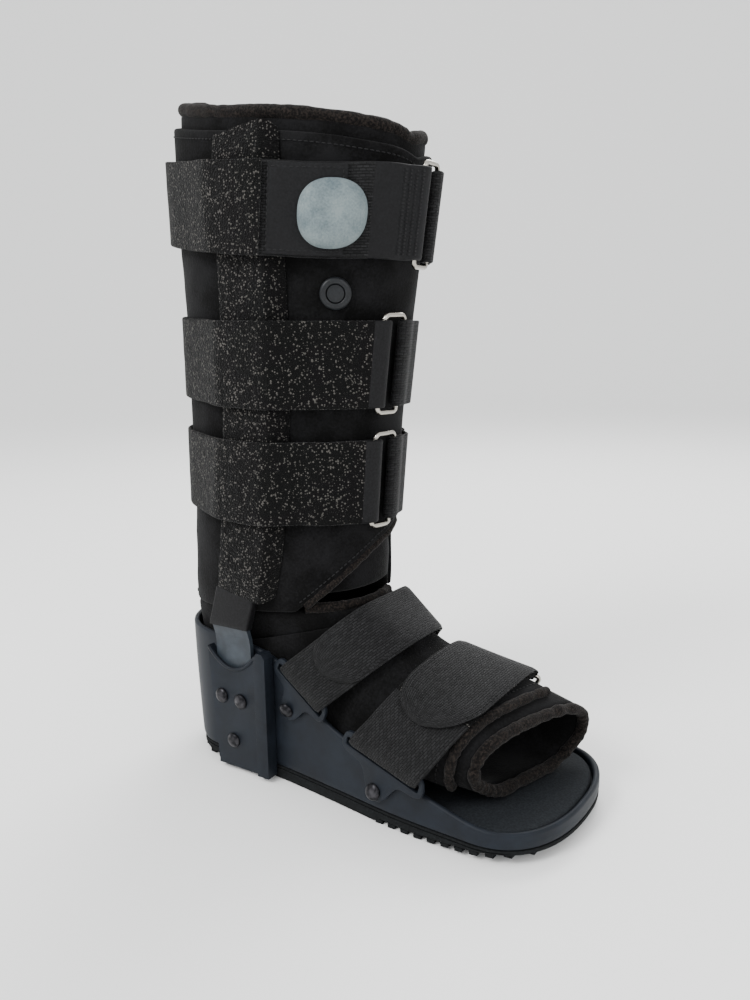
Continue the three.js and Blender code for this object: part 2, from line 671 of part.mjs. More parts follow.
function coverRing(z, side) {
  const x = coverX(z);
  const half = COVER_WIDTH / 2;
  const outer = barY(z) + BAR_THICK + GAP + COVER_THICK + COVER_CROWN;
  const seat = (px) => legSide(px, z) + SOFT_GAP;
  const ringPoint = (px, y) => point(px, side * y, z);
  const barHalf = BAR_WIDTH / 2 + GAP;
  const bar = barX(z);
  const roof = barY(z) + BAR_THICK + GAP;
  return [
    ringPoint(x - half, seat(x - half)), ringPoint(x - half, seat(x - half) + COVER_THICK),
    ringPoint(x - half + 6, outer - COVER_CROWN), ringPoint(x, outer),
    ringPoint(x + half - 6, outer - COVER_CROWN),
    ringPoint(x + half, seat(x + half) + COVER_THICK), ringPoint(x + half, seat(x + half)),
    ringPoint(bar + barHalf, seat(bar + barHalf)), ringPoint(bar + barHalf, roof),
    ringPoint(bar - barHalf, roof), ringPoint(bar - barHalf, seat(bar - barHalf)),
  ];
}

function uprightCover(side) {
  const rings = coverHeights.map((z) => coverRing(z, side));
  rings.at(-1).forEach((p) => p.setZ(p.z + COVER_SLANT * (p.x - coverX(COVER_TOP)) / COVER_WIDTH));
  return bodyOf(rings);
}

// Straps round the leg: a taut band takes the convex hull of what it goes round

function hullOf(points) {
  const sorted = [...points].sort((a, b) => a.x - b.x || a.y - b.y);
  const turn = (o, a, b) => (a.x - o.x) * (b.y - o.y) - (a.y - o.y) * (b.x - o.x);
  const chain = (list) => list.reduce((hull, p) => {
    while (hull.length > 1 && turn(hull.at(-2), hull.at(-1), p) <= 0) hull.pop();
    return [...hull, p];
  }, []).slice(0, -1);
  return [...chain(sorted), ...chain(sorted.reverse())];
}

// A track round a hull: place(along, out) gives the point out from it, along from the start
function trackOf(hull, startAngle) {
  const middle = hull.reduce((sum, p) => sum.add(p), new THREE.Vector2()).divideScalar(hull.length);
  const count = 96;
  const loop = steps(startAngle, startAngle - 360, count).slice(0, -1).map((angle) => {
    const ray = new THREE.Vector2(Math.cos(rad(angle)), Math.sin(rad(angle)));
    let reach = 0;
    hull.forEach((a, i) => {
      const b = hull[(i + 1) % hull.length];
      const edge = b.clone().sub(a);
      const from = a.clone().sub(middle);
      const cross = ray.x * edge.y - ray.y * edge.x;
      if (Math.abs(cross) < 1e-9) return;
      const t = (from.x * edge.y - from.y * edge.x) / cross;
      const u = (from.x * ray.y - from.y * ray.x) / cross;
      if (t > 0 && u >= -1e-6 && u <= 1 + 1e-6) reach = Math.max(reach, t);
    });
    return ray.multiplyScalar(reach).add(middle);
  });
  const lengths = loop.map((p, i) => p.distanceTo(loop[(i + 1) % count]));
  const whole = lengths.reduce((sum, length) => sum + length, 0);
  const place = (along, out) => {
    let rest = ((along % whole) + whole) % whole;
    let i = 0;
    while (rest > lengths[i]) {
      rest -= lengths[i];
      i += 1;
    }
    const a = loop[i];
    const b = loop[(i + 1) % count];
    const tangent = b.clone().sub(a).normalize();
    const before = a.clone().sub(loop[(i - 1 + count) % count]).normalize();
    const after = loop[(i + 2) % count].clone().sub(b).normalize();
    const share = rest / lengths[i];
    const smooth = share < 0.5 ? before.lerp(tangent, 0.5 + share) : tangent.clone().lerp(after, share - 0.5);
    const normal = new THREE.Vector2(-smooth.y, smooth.x).normalize();
    return a.clone().lerp(b, share).addScaledVector(normal, out);
  };
  return { whole, place };
}

// How far a strap has risen at x: it is level across the shin and rises towards the back
function strapLift(strap, x) {
  const front = legMiddle(RIM_HEIGHT) + CALF_DEPTH;
  return RIM_HEIGHT * strap.rise * Math.max(0, (front - x) / (2 * CALF_DEPTH)) ** 2;
}

// Plan outline of the leg and its upright covers along a strap, at its height on the shin
function legOutline(strap, z) {
  const lifted = (x) => z + strapLift(strap, x);
  const round = steps(-180, 180, 72).slice(0, -1)
    .map((angle) => legPoint(angle, lifted(legPoint(angle, z).x)));
  const covers = [-1, 1].flatMap((side) => coverRing(lifted(coverX(z)), side)
    .map((p) => p.setY(p.y + side * 2 * SOFT_GAP)));
  return [...round, ...covers];
}

// A strap's upper and lower edges, each wide enough to clear the leg halfway up as well
const legTracks = new Map();
function legTrack(strap) {
  if (!legTracks.has(strap.name)) {
    const middleZ = RIM_HEIGHT * strap.up;
    const [low, middle, high] = [-1, 0, 1].map((way) => legOutline(strap, middleZ + way * STRAP_WIDTH / 2));
    const edges = [[low, high], [high, low]].map(([edge, other]) => {
      const carried = middle.map((p, i) => p.clone().multiplyScalar(2).sub(other[i]));
      return trackOf(hullOf([...edge, ...carried].map((p) => new THREE.Vector2(p.x, p.y))), 0);
    });
    legTracks.set(strap.name, { edges, whole: (edges[0].whole + edges[1].whole) / 2 });
  }
  return legTracks.get(strap.name);
}

// A band along stations [along, out] of its middle line, through points at each edge's height
function bandBody(stations, thick, edges, place) {
  return bodyOf(stations.map(([along, out], i) => {
    const [a0, o0] = stations[Math.max(i - 1, 0)];
    const [a1, o1] = stations[Math.min(i + 1, stations.length - 1)];
    const length = Math.hypot(a1 - a0, o1 - o0);
    const na = (-(o1 - o0) / length) * (thick / 2);
    const no = ((a1 - a0) / length) * (thick / 2);
    return [
      ...edges.map((z) => place(along + na, out + no, z)),
      ...edges.map((z) => place(along - na, out - no, z)).reverse(),
    ];
  }));
}

// Round a ring's post: from the hidden return layer to the outer layer, and down to the seat.
// turn is 1 where the band leaves the post towards greater values of along.
function postLoop(post, turn, thick, returned) {
  const radius = RING_WIRE + GAP + thick / 2;
  const inner = RING_OUT - radius;
  const outer = inner + thick + GAP;
  const seat = SOFT_GAP + thick / 2;
  const bend = steps(-90, 90, 4).map((angle) => [
    post - turn * radius * Math.cos(rad(angle)), RING_OUT + radius * Math.sin(rad(angle)),
  ]);
  return [
    [post + turn * returned, inner], [post + turn * returned * 0.6, inner], [post + turn * 6, inner], ...bend,
    [post + turn * 13, outer], [post + turn * (returned + 4), outer], [post + turn * (returned + 18), seat],
  ];
}

// Distance of a ring's wire from the track: its band's return layer lies between
const RING_OUT = SOFT_GAP + PILE_THICK + GAP + RING_WIRE;

const legEdges = (strap) => [-1, 1].map((way) => RIM_HEIGHT * strap.up + way * STRAP_WIDTH / 2);

// A place along the strap, out from the leg and up at its height on the shin, straight from
// edge to edge
function legPlace(strap) {
  const { edges, whole } = legTrack(strap);
  const [lowZ, highZ] = legEdges(strap);
  return (along, out, z) => {
    const [low, high] = edges.map((track) => track.place(along * track.whole / whole, out));
    const flat = low.lerp(high, (z - lowZ) / (highZ - lowZ));
    return point(flat.x, flat.y, z + strapLift(strap, flat.x));
  };
}

function legBand(strap) {
  const sewn = legTrack(strap).whole + strap.ringAt - WEB_REACH;
  const start = postLoop(strap.ringAt + RING_WIDTH / 2, 1, PILE_THICK, 26);
  const seat = SOFT_GAP + PILE_THICK / 2;
  const lapped = seat + WEB_THICK + SOFT_GAP;
  const middle = steps(start.at(-1)[0] + 9, sewn - 14, 36).map((along) => [along, seat]);
  const stations = [...start, ...middle, [sewn - 3, lapped], [sewn + SEWN_LAP / 2, lapped],
    [sewn + SEWN_LAP, lapped]];
  return bandBody(stations, PILE_THICK, legEdges(strap), legPlace(strap));
}

function legWeb(strap) {
  const start = postLoop(strap.ringAt - RING_WIDTH / 2, -1, WEB_THICK, 14);
  const seat = SOFT_GAP + WEB_THICK / 2;
  const rest = steps(start.at(-1)[0] - 6, strap.ringAt - WEB_REACH, 4).map((along) => [along, seat]);
  return bandBody([...start, ...rest].reverse(), WEB_THICK, legEdges(strap), legPlace(strap));
}

function ringBody(alongMiddle, halfWidth, low, high, out, place) {
  const corners = [[1, 1, 0], [-1, 1, 90], [-1, -1, 180], [1, -1, 270]];
  const middle = (low + high) / 2;
  const halfHeight = (high - low) / 2;
  return rodOf(corners.flatMap(([a, b, from]) => steps(from, from + 90, 2).map((angle) => place(
    alongMiddle + a * (halfWidth - RING_ROUND) + RING_ROUND * Math.cos(rad(angle)),
    out,
    middle + b * (halfHeight - RING_ROUND) + RING_ROUND * Math.sin(rad(angle)),
  ))), RING_WIRE, 6, true);
}

function legRing(strap) {
  const [low, high] = legEdges(strap);
  const over = RING_OVER + RING_WIRE;
  return ringBody(strap.ringAt, RING_WIDTH / 2, low - over, high + over, RING_OUT, legPlace(strap));
}

// Over the top strap: the pile layer on the near side and round the back
function topPile() {
  const strap = LEG_STRAPS[0];
  const { whole } = legTrack(strap);
  const seat = 2.5 * SOFT_GAP + PILE_THICK + WEB_THICK / 2;
  const start = BULB_AT + BULB_RADIUS + PANEL_PAST_BULB;
  const run = steps(start, whole - 106, 28).map((along) => [along, seat]);
  return bandBody(run, WEB_THICK, legEdges(strap), legPlace(strap));
}

// A turned piece set on a strap or on the leg, its axis along the outward normal
function turnedOn(profile, segments, foot, outward) {
  const body = new THREE.LatheGeometry(profile.map(([x, y]) => new THREE.Vector2(x, y)), segments);
  const turn = new THREE.Quaternion().setFromUnitVectors(point(0, 1, 0), outward.clone().normalize());
  return body.applyQuaternion(turn).translate(foot.x, foot.y, foot.z);
}

// The outward normal between two points along a surface and two points up it
function normalOf(before, after, below, above) {
  return new THREE.Vector3().crossVectors(above.sub(below), after.sub(before)).normalize();
}

function pumpBulb() {
  const place = legPlace(LEG_STRAPS[0]);
  const z = RIM_HEIGHT * LEG_STRAPS[0].up - 2;
  const out = 2 * SOFT_GAP + PILE_THICK + GAP;
  const foot = place(BULB_AT, out, z);
  const outward = normalOf(place(BULB_AT - 4, out, z), place(BULB_AT + 4, out, z),
    place(BULB_AT, out, z - 12), place(BULB_AT, out, z + 12));
  const profile = [[0, 0], [BULB_RADIUS, 0], [BULB_RADIUS, BULB_HEIGHT * 0.35],
    [BULB_RADIUS * 0.86, BULB_HEIGHT * 0.75], [BULB_RADIUS * 0.55, BULB_HEIGHT * 0.95], [0, BULB_HEIGHT]];
  return turnedOn(profile, 16, foot, outward);
}

function valvePlace() {
  const z = RIM_HEIGHT * VALVE_UP;
  const foot = legPoint(VALVE_ANGLE, z, -SOFT_GAP);
  const outward = normalOf(legPoint(VALVE_ANGLE + 3, z), legPoint(VALVE_ANGLE - 3, z),
    legPoint(VALVE_ANGLE, z - VALVE_RADIUS), legPoint(VALVE_ANGLE, z + VALVE_RADIUS));
  return { foot, outward };
}

function valveCollar() {
  const { foot, outward } = valvePlace();
  const profile = [[VALVE_RADIUS * 0.62, 0], [VALVE_RADIUS, 0], [VALVE_RADIUS, 2],
    [VALVE_RADIUS * 0.85, 3], [VALVE_RADIUS * 0.62, 3], [VALVE_RADIUS * 0.62, 0]];
  return turnedOn(profile, 12, foot, outward);
}

function valveButton() {
  const { foot, outward } = valvePlace();
  const radius = VALVE_RADIUS * 0.62 - GAP;
  return turnedOn([[0, 0], [radius, 0], [radius, 1.4], [0, 1.8]], 12, foot, outward);
}

// Foot straps: each edge lies in a plane that holds the Y axis and leans forward

const slotX = (strap) => lerp(SOCKET_FRONT, SOLE_TOE, strap.along);
const slotZ = (strap) => wallTop(slotX(strap)) + strap.above;

function strapFrame(strap) {
  const tilt = rad(strap.tilt);
  const lean = rad(strap.lean);
  return {
    across: point(Math.cos(tilt), 0, -Math.sin(tilt)), // along the slot
    up: point(Math.sin(lean), 0, Math.cos(lean)), // up the strap
    normal: point(Math.cos(lean), 0, -Math.sin(lean)),
    origin: point(slotX(strap), 0, slotZ(strap)),
  };
}

// The foot's hull in the strap's plane, shifted across it; x is Y, y is height up the plane
function footHull(strap, shift) {
  const { across, up, normal, origin } = strapFrame(strap);
  const centre = origin.clone().addScaledVector(across, shift);
  const found = [];
  const angles = steps(-180, 180, 60);
  angles.forEach((angle) => {
    let before = null;
    steps(0, 9, 60).forEach((at) => {
      const p = footPoint(at, angle);
      const side = p.clone().sub(centre).dot(normal);
      if (before && before.side < 0 !== side < 0) {
        const share = before.side / (before.side - side);
        const hit = before.p.clone().lerp(p, share).sub(centre);
        found.push(new THREE.Vector2(hit.y, hit.dot(up)));
      }
      before = { p, side };
    });
  });
  return found;
}

// Slant of the wall in plan where a bracket sits, as a slope
const wallSlope = (strap) => (baseHalfWidth(slotX(strap) + 20) - baseHalfWidth(slotX(strap) - 20)) / 40;
const slotY = (strap, shift) => baseHalfWidth(slotX(strap)) + 2 * GAP + BRACKET_THICK / 2
  + shift * Math.cos(rad(strap.tilt)) * wallSlope(strap);

// One edge's arch, in its plane, from the near slot over the foot to the far slot
function archPath(strap, shift, raise) {
  const slot = slotY(strap, shift);
  const over = footHull(strap, shift).filter((p) => p.y > 2);
  over.forEach((p) => p.setY(p.y + raise));
  const hull = hullOf([...over, new THREE.Vector2(-slot, 0), new THREE.Vector2(slot, 0)]);
  const start = hull.findIndex((p) => p.x === -slot);
  const ordered = [...hull.slice(start), ...hull.slice(0, start)];
  const end = ordered.findIndex((p) => p.x === slot);
  const corners = [ordered[0], ...ordered.slice(end).reverse()];
  return new THREE.CatmullRomCurve3(corners.map((p) => point(p.x, p.y, 0)), false, 'centripetal');
}

const arches = new Map();
function archOf(strap) {
  if (!arches.has(strap.name)) {
    const half = strap.width / 2;
    const [rear, middle, front] = [-half, 0, half]
      .map((shift) => Math.max(...footHull(strap, shift).map((p) => p.y)));
    const bulge = Math.max(0, middle - (rear + front) / 2);
    const edges = [-half, half].map((shift) => archPath(strap, shift, bulge));
    arches.set(strap.name, { edges, whole: (edges[0].getLength() + edges[1].getLength()) / 2 });
  }
  return arches.get(strap.name);
}

// The point of the arch at a length from the near slot and a distance out from the foot
function archPoint(strap, along, out, shift) {
  const { edges, whole } = archOf(strap);
  const share = clamp(along / whole, 0, 1);
  const [rear, front] = edges.map((path) => {
    const p = path.getPointAt(share);
    const tangent = path.getTangentAt(share);
    return new THREE.Vector2(p.x - tangent.y * out, p.y + tangent.x * out);
  });
  return rear.lerp(front, shift / strap.width + 0.5);
}

// A strip through stations, each with its place in the plane for a shift and its half width
function stripBody(strap, stations, thick) {
  const { across, up, origin } = strapFrame(strap);
  return bodyOf(stations.map((station, i) => {
    const before = stations[Math.max(i - 1, 0)];
    const after = stations[Math.min(i + 1, stations.length - 1)];
    const corner = (reach, face) => {
      const p = station.place(reach);
      const run = after.place(reach).sub(before.place(reach)).normalize();
      const y = p.x - run.y * face * thick / 2;
      const h = p.y + run.x * face * thick / 2;
      return origin.clone().addScaledVector(across, reach).addScaledVector(up, h).setY(y);
    };
    return [[-1, 1], [1, 1], [1, -1], [-1, -1]]
      .map(([way, face]) => corner(way * station.half, face));
  }));
}

const FOOT_SEAT = 2.5 * SOFT_GAP + WEB_THICK / 2;
const LAYER = WEB_THICK + GAP; // from one layer of a folded strap to the next
const LOOP_FLAT = 42; // where a foot strap is down on the liner again, past its near loop
const FOOT_RING_OUT = FOOT_SEAT + RING_WIRE + 2 * GAP + WEB_THICK / 2;

// From inside the slot, round its upper bar and outside it; side is -1 near and 1 far
function slotLoop(strap, side) {
  const reach = BRACKET_THICK / 2 + 2.5 * GAP + WEB_THICK / 2;
  const bar = SLOT_HEIGHT / 2 + BRACKET_RIM + 2;
  const places = [[-1, bar], [-1, SLOT_HEIGHT / 2], [-0.6, 0.1], [0.6, 0.1], [1, SLOT_HEIGHT / 2], [1, bar]];
  return places.map(([out, h]) => ({
    half: strap.width / 2,
    place: (shift) => new THREE.Vector2(side * (slotY(strap, shift) + out * reach), h),
  }));
}

// The whole strap: looped through the near slot, over the foot, round the far ring and back
function footStrap(strap) {
  const { whole } = archOf(strap);
  const half = strap.width / 2;
  const on = (along, out, width = half) => ({
    half: width, place: (shift) => archPoint(strap, along, out, shift),
  });
  const post = whole - FOOT_RING_AT - RING_WIDTH / 2;
  const radius = FOOT_RING_OUT - FOOT_SEAT;
  const bend = steps(-90, 90, 4).map((angle) => (
    on(post + radius * Math.cos(rad(angle)), FOOT_RING_OUT + radius * Math.sin(rad(angle)))
  ));
  const tab = strap.tabAt * whole;
  const under = steps(LOOP_FLAT, post - 10, 8).map((along) => on(along, FOOT_SEAT));
  // The tab climbs over the end of the near loop
  const outside = (along) => FOOT_SEAT + LAYER * (2 - smoothstep(along, LOOP_FLAT, LOOP_FLAT + 20));
  const over = steps(post - 14, tab + half, 8).map((along) => on(along, outside(along)));
  const round = steps(75, 0, 4).map((angle) => {
    const along = tab + half * (1 - Math.cos(rad(angle)));
    return on(along, outside(along), half * Math.max(0.25, Math.sin(rad(angle))));
  });
  return stripBody(strap, [
    on(27, FOOT_SEAT), on(17, FOOT_SEAT), ...slotLoop(strap, -1),
    on(18, FOOT_SEAT + LAYER), on(29, FOOT_SEAT + LAYER), ...under, ...bend, ...over, ...round,
  ], WEB_THICK);
}

// The short webbing that holds the far ring to the far slot
function footRingLoop(strap) {
  const { whole } = archOf(strap);
  const half = strap.width / 2;
  const on = (along, out) => ({ half, place: (shift) => archPoint(strap, whole - along, out, shift) });
  const post = FOOT_RING_AT - RING_WIDTH / 2;
  const radius = FOOT_RING_OUT - FOOT_SEAT;
  const bend = steps(-90, 90, 4).map((angle) => (
    on(post + radius * Math.cos(rad(angle)), FOOT_RING_OUT + radius * Math.sin(rad(angle)))
  ));
  return stripBody(strap, [...slotLoop(strap, 1), on(post - 6, FOOT_RING_OUT + radius * 0.7),
    ...bend.reverse(), on(post - 6, FOOT_SEAT)], WEB_THICK);
}

function footRing(strap) {
  const { across, up, origin } = strapFrame(strap);
  const { whole } = archOf(strap);
  const place = (along, out, shift) => {
    const flat = archPoint(strap, along, out, shift);
    return origin.clone().addScaledVector(across, shift).addScaledVector(up, flat.y).setY(flat.x);
  };
  const reach = strap.width / 2 + RING_OVER + RING_WIRE;
  return ringBody(whole - FOOT_RING_AT, RING_WIDTH / 2, -reach, reach, FOOT_RING_OUT, place);
}

// Brackets with a slot for the strap, on the outside of the wall
function bracket(strap, side) {
  const half = strap.width / 2 + 2;
  const height = SLOT_HEIGHT / 2;
  const rim = BRACKET_RIM;
  const shape = shapeOf([
    [-half - rim, -height], [-half - rim * 0.4, height + rim], [half + rim * 0.4, height + rim],
    [half + rim, -height], [half, -height - rim], [half * 0.55, -height - rim - 1],
    [RIVET_RADIUS + 3, -RIVET_DROP - 1], [RIVET_RADIUS, -RIVET_DROP - 6],
    [-RIVET_RADIUS, -RIVET_DROP - 6], [-RIVET_RADIUS - 3, -RIVET_DROP - 1],
    [-half * 0.55, -height - rim - 1], [-half, -height - rim],
  ]);
  const slot = new THREE.BoxGeometry(2 * half, 2 * BRACKET_THICK, SLOT_HEIGHT);
  const plate = cut(standing(shape, -BRACKET_THICK / 2, BRACKET_THICK), slot);
  return placedOnWall(plate, strap, side, BRACKET_THICK / 2);
}

// Turned to the strap's tilt and to the wall's slant, then moved out to the wall
function placedOnWall(geometry, strap, side, out) {
  geometry.rotateY(rad(strap.tilt)).rotateZ(side * Math.atan(wallSlope(strap)));
  const y = baseHalfWidth(slotX(strap)) + 2 * GAP + out;
  return geometry.translate(slotX(strap), side * y, slotZ(strap));
}

function bracketRivet(strap, side) {
  const head = rivet();
  if (side < 0) head.rotateX(Math.PI);
  head.translate(0, side * (BRACKET_THICK / 2 + GAP), -RIVET_DROP);
  return placedOnWall(head, strap, side, BRACKET_THICK / 2);
}

// Materials
const FINISHES = {
  rubber: [0x1d2024, 0.9, 0],
  plastic: [0x2c323a, 0.55, 0],
  foam: [0x35322f, 0.95, 0],
  metal: [0x9a9d9f, 0.35, 1],
  bar: [0x555d66, 0.5, 0.2],
  pile: [0x141414, 0.95, 0],
  web: [0x1a1a1a, 0.85, 0],
  knit: [0x121212, 0.95, 0],
  binding: [0x3a3430, 0.95, 0],
  bulb: [0x8e9c9e, 0.85, 0],
};

const boot = new THREE.Group();

function add(name, geometry, finish) {
  const [color, roughness, metalness] = FINISHES[finish];
  const mesh = new THREE.Mesh(geometry, new THREE.MeshStandardMaterial({ color, roughness, metalness }));
  mesh.name = name;
  boot.add(mesh);
}

add('outsole', outsole(), 'rubber');
add('base_shell', baseShell(), 'plastic');
add('insole', insole(), 'foam');
add('leg_pad', legPad(), 'knit');
add('leg_layer', legLayer(), 'knit');
add('rim_binding', rimBinding(), 'binding');
add('flap_binding', flapBinding(), 'binding');
add('foot_pad', footPad(), 'knit');
add('foot_flap', footFlap(), 'knit');
add('toe_binding', toeBinding(padMiddle, TOE_RING, footTurns, BINDING, true), 'binding');
const flapEdge = toeBinding(flapMiddle, FLAP_END, flapTurns, SMALL_BINDING, false);
add('toe_flap_binding', flapEdge, 'binding');
add('instep_binding', instepBinding(), 'binding');

const rivetPlaces = [{ along: 0.22, up: 0.614 }, { along: 0.54, up: 0.602 }, { along: 0.39, up: 0.26 }];
for (const [suffix, side] of [['near', -1], ['far', 1]]) {
  add(`socket_${suffix}`, socket(side), 'plastic');
  add(`upright_${suffix}`, upright(side), 'bar');
  add(`upright_sheath_${suffix}`, sheath(side), 'web');
  add(`upright_cover_${suffix}`, uprightCover(side), 'pile');
  rivetPlaces.forEach(({ along, up }, i) => {
    const head = rivet();
    if (side < 0) head.rotateX(Math.PI);
    const x = lerp(SOCKET_BACK, SOCKET_FRONT, along);
    head.translate(x, side * (SOCKET_Y + SOCKET_THICK + GAP), SOCKET_HEIGHT * up);
    add(`socket_rivet_${suffix}_${i + 1}`, head, 'metal');
  });
  for (const strap of FOOT_STRAPS) {
    add(`bracket_${strap.name}_${suffix}`, bracket(strap, side), 'plastic');
    add(`bracket_rivet_${strap.name}_${suffix}`, bracketRivet(strap, side), 'metal');
  }
}

for (const strap of LEG_STRAPS) {
  add(`${strap.name}_band`, legBand(strap), 'pile');
  add(`${strap.name}_web`, legWeb(strap), 'web');
  add(`${strap.name}_ring`, legRing(strap), 'metal');
}
for (const strap of FOOT_STRAPS) {
  add(strap.name, footStrap(strap), 'pile');
  add(`${strap.name}_ring_loop`, footRingLoop(strap), 'web');
  add(`${strap.name}_ring`, footRing(strap), 'metal');
}
add('strap_1_pile', topPile(), 'pile');
add('pump_bulb', pumpBulb(), 'bulb');
add('valve_collar', valveCollar(), 'plastic');
add('valve_button', valveButton(), 'plastic');

export default boot;
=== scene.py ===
# %% [markdown]
# # A tall walking boot for an injured foot
# The real boot is a moulded plastic base with a heel cup, two flat uprights, a padded cloth
# liner and straps of loop pile. The CAD model gives every size. Here each soft piece is made
# again on the same forms, fine enough to show its edges, seams and folds, and each hard
# piece gets rounded edges. This way the looks and the CAD share one frame, with no fitting.

import json
import math

import bmesh
import bpy
import numpy as np
from mathutils import Matrix, Vector, noise

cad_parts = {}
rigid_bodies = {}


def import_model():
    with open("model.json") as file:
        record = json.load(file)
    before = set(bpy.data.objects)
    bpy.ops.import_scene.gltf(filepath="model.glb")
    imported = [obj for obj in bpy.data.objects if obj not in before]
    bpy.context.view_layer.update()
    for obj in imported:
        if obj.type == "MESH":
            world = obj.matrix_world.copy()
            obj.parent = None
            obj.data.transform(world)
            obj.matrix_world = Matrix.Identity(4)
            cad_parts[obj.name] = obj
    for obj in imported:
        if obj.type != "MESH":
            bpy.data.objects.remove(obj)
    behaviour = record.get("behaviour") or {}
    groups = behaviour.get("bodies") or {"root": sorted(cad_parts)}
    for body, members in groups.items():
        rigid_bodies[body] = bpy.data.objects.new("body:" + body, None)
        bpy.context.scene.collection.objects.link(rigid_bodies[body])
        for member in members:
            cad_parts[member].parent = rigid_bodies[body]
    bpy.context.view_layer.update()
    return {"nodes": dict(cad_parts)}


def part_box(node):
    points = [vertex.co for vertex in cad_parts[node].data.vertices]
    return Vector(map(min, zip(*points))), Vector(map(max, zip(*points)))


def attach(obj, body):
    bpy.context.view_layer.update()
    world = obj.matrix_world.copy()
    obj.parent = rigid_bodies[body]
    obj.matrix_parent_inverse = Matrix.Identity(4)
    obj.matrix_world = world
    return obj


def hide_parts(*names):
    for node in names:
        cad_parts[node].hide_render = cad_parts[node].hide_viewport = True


for stray in list(bpy.data.objects):
    bpy.data.objects.remove(stray)
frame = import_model()
MM = 0.001

# %% [markdown]
# ## Small helpers
# Colours are picked as sRGB hex values, and Blender's shaders want linear light, so one
# function turns them over. Another adds a node with its settings and its links, and three
# more put a mesh in the scene, weld its points and shade it smooth.

# %% Colour and node helpers


def linear(code):
    """An sRGB hex colour as linear RGBA."""
    parts = [int(code[i:i + 2], 16) / 255 for i in (1, 3, 5)]
    return [p / 12.92 if p <= 0.04045 else ((p + 0.055) / 1.055) ** 2.4 for p in parts] + [1.0]


def add_node(tree, kind, settings=None, **inputs):
    """A node with its settings; an input is a value or another node's output socket."""
    made = tree.nodes.new(kind)
    for key, value in (settings or {}).items():
        setattr(made, key, value)
    for key, value in inputs.items():
        name = key.replace("_", " ")
        socket = made.inputs[int(key[1:])] if key[0] == "i" and key[1:].isdigit() else made.inputs[name]
        if isinstance(value, bpy.types.NodeSocket):
            tree.links.new(value, socket)
        else:
            socket.default_value = value
    return made


def add_object(name, data):
    """A new object at the origin, in the scene."""
    made = bpy.data.objects.new(name, data)
    bpy.context.scene.collection.objects.link(made)
    return made


def shade(mesh, sharp):
    """Smooth shading, with sharp edges where faces meet at more than an angle in degrees."""
    mesh.shade_smooth()
    mesh.set_sharp_from_angle(angle=math.radians(sharp))


def weld(mesh, reach):
    """Joins points within reach, in metres, and turns the faces outwards."""
    shell = bmesh.new()
    shell.from_mesh(mesh)
    bmesh.ops.remove_doubles(shell, verts=shell.verts, dist=reach)
    bmesh.ops.recalc_face_normals(shell, faces=shell.faces)
    shell.to_mesh(mesh)
    shell.free()


# %% [markdown]
# ## Making a mesh from rings
# Most of this boot can be described as a row of closed rings: a strap is a thin rounded
# rectangle carried along its path, and the liner is a wall carried round the leg. A loft
# joins such rings with quads. It also keeps a UV map in metres, along and around, so that a
# weave follows the cloth instead of the world axes.

# %% Lofting


def piece(name, points, faces, uvs, sharp):
    """A smooth-shaded mesh object from points in millimetres, with a UV map for cloth."""
    mesh = bpy.data.meshes.new(name)
    mesh.from_pydata((np.asarray(points, float) * MM).tolist(), [], faces)
    mesh.uv_layers.new(name="cloth").data.foreach_set("uv", (np.asarray(uvs, float) * MM).ravel())
    weld(mesh, 1e-6)
    shade(mesh, sharp)
    return add_object(name, mesh)


def lengths(points):
    """How far along a line of points each one lies."""
    return np.concatenate([[0], np.cumsum(np.linalg.norm(np.diff(points, axis=0), axis=1))])


def between(where, at, rows):
    """Rows of values read at new places along a line."""
    return np.stack([np.interp(where, at, rows[:, k]) for k in range(rows.shape[1])], -1)


def loft(name, rings, closed=False, sharp=50):
    """Quads between rings of points, shaped (ring, point, xyz), with capped ends unless closed."""
    rings = np.asarray(rings, float)
    count, size = rings.shape[:2]
    steps = np.linalg.norm(np.roll(rings, -1, 0) - rings, axis=2).mean(1)
    along = np.concatenate([[0], np.cumsum(steps)])
    widest = rings[count // 2]
    around = lengths(np.vstack([widest, widest[:1]]))
    faces, uvs = [], []
    for i in range(count if closed else count - 1):
        for j in range(size):
            k, n = (j + 1) % size, (i + 1) % count
            faces.append((i * size + j, i * size + k, n * size + k, n * size + j))
            uvs += [(along[i], around[j]), (along[i], around[j + 1]),
                    (along[i + 1], around[j + 1]), (along[i + 1], around[j])]
    if not closed:
        for base in (0, (count - 1) * size):
            faces.append(tuple(range(base, base + size)))
            uvs += [(along[0], a) for a in around[:-1]]
    return piece(name, rings.reshape(-1, 3), faces, uvs, sharp)


def smoothstep(x, low, high):
    t = np.clip((np.asarray(x, float) - low) / (high - low), 0, 1)
    return t * t * (3 - 2 * t)


def wobble(points, size, amount, seed=0.0):
    """Smooth random offsets in millimetres, for cloth that never lies quite even."""
    flat = np.asarray(points, float).reshape(-1, 3)
    raw = [noise.noise(Vector((p[0] / size + seed, p[1] / size - seed, p[2] / size))) for p in flat]
    return (np.array(raw) * amount).reshape(np.asarray(points).shape[:-1])


# %% [markdown]
# ## Finishing a piece
# Every piece rides on the boot's one body. It names the CAD solids that it stands for, and
# these are hidden.

# %% Finish a piece


def finished(made, material, slot, *stands_for, fill=None):
    """Gives a piece its material and its place in the frame, and hides what it stands for. The slot is not
    used.
    """
    if not made.data.materials:
        made.data.materials.append(material)
    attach(made, "root")
    if stands_for:
        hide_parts(*stands_for)
    print(made.name, len(made.data.polygons), "faces")
    return made
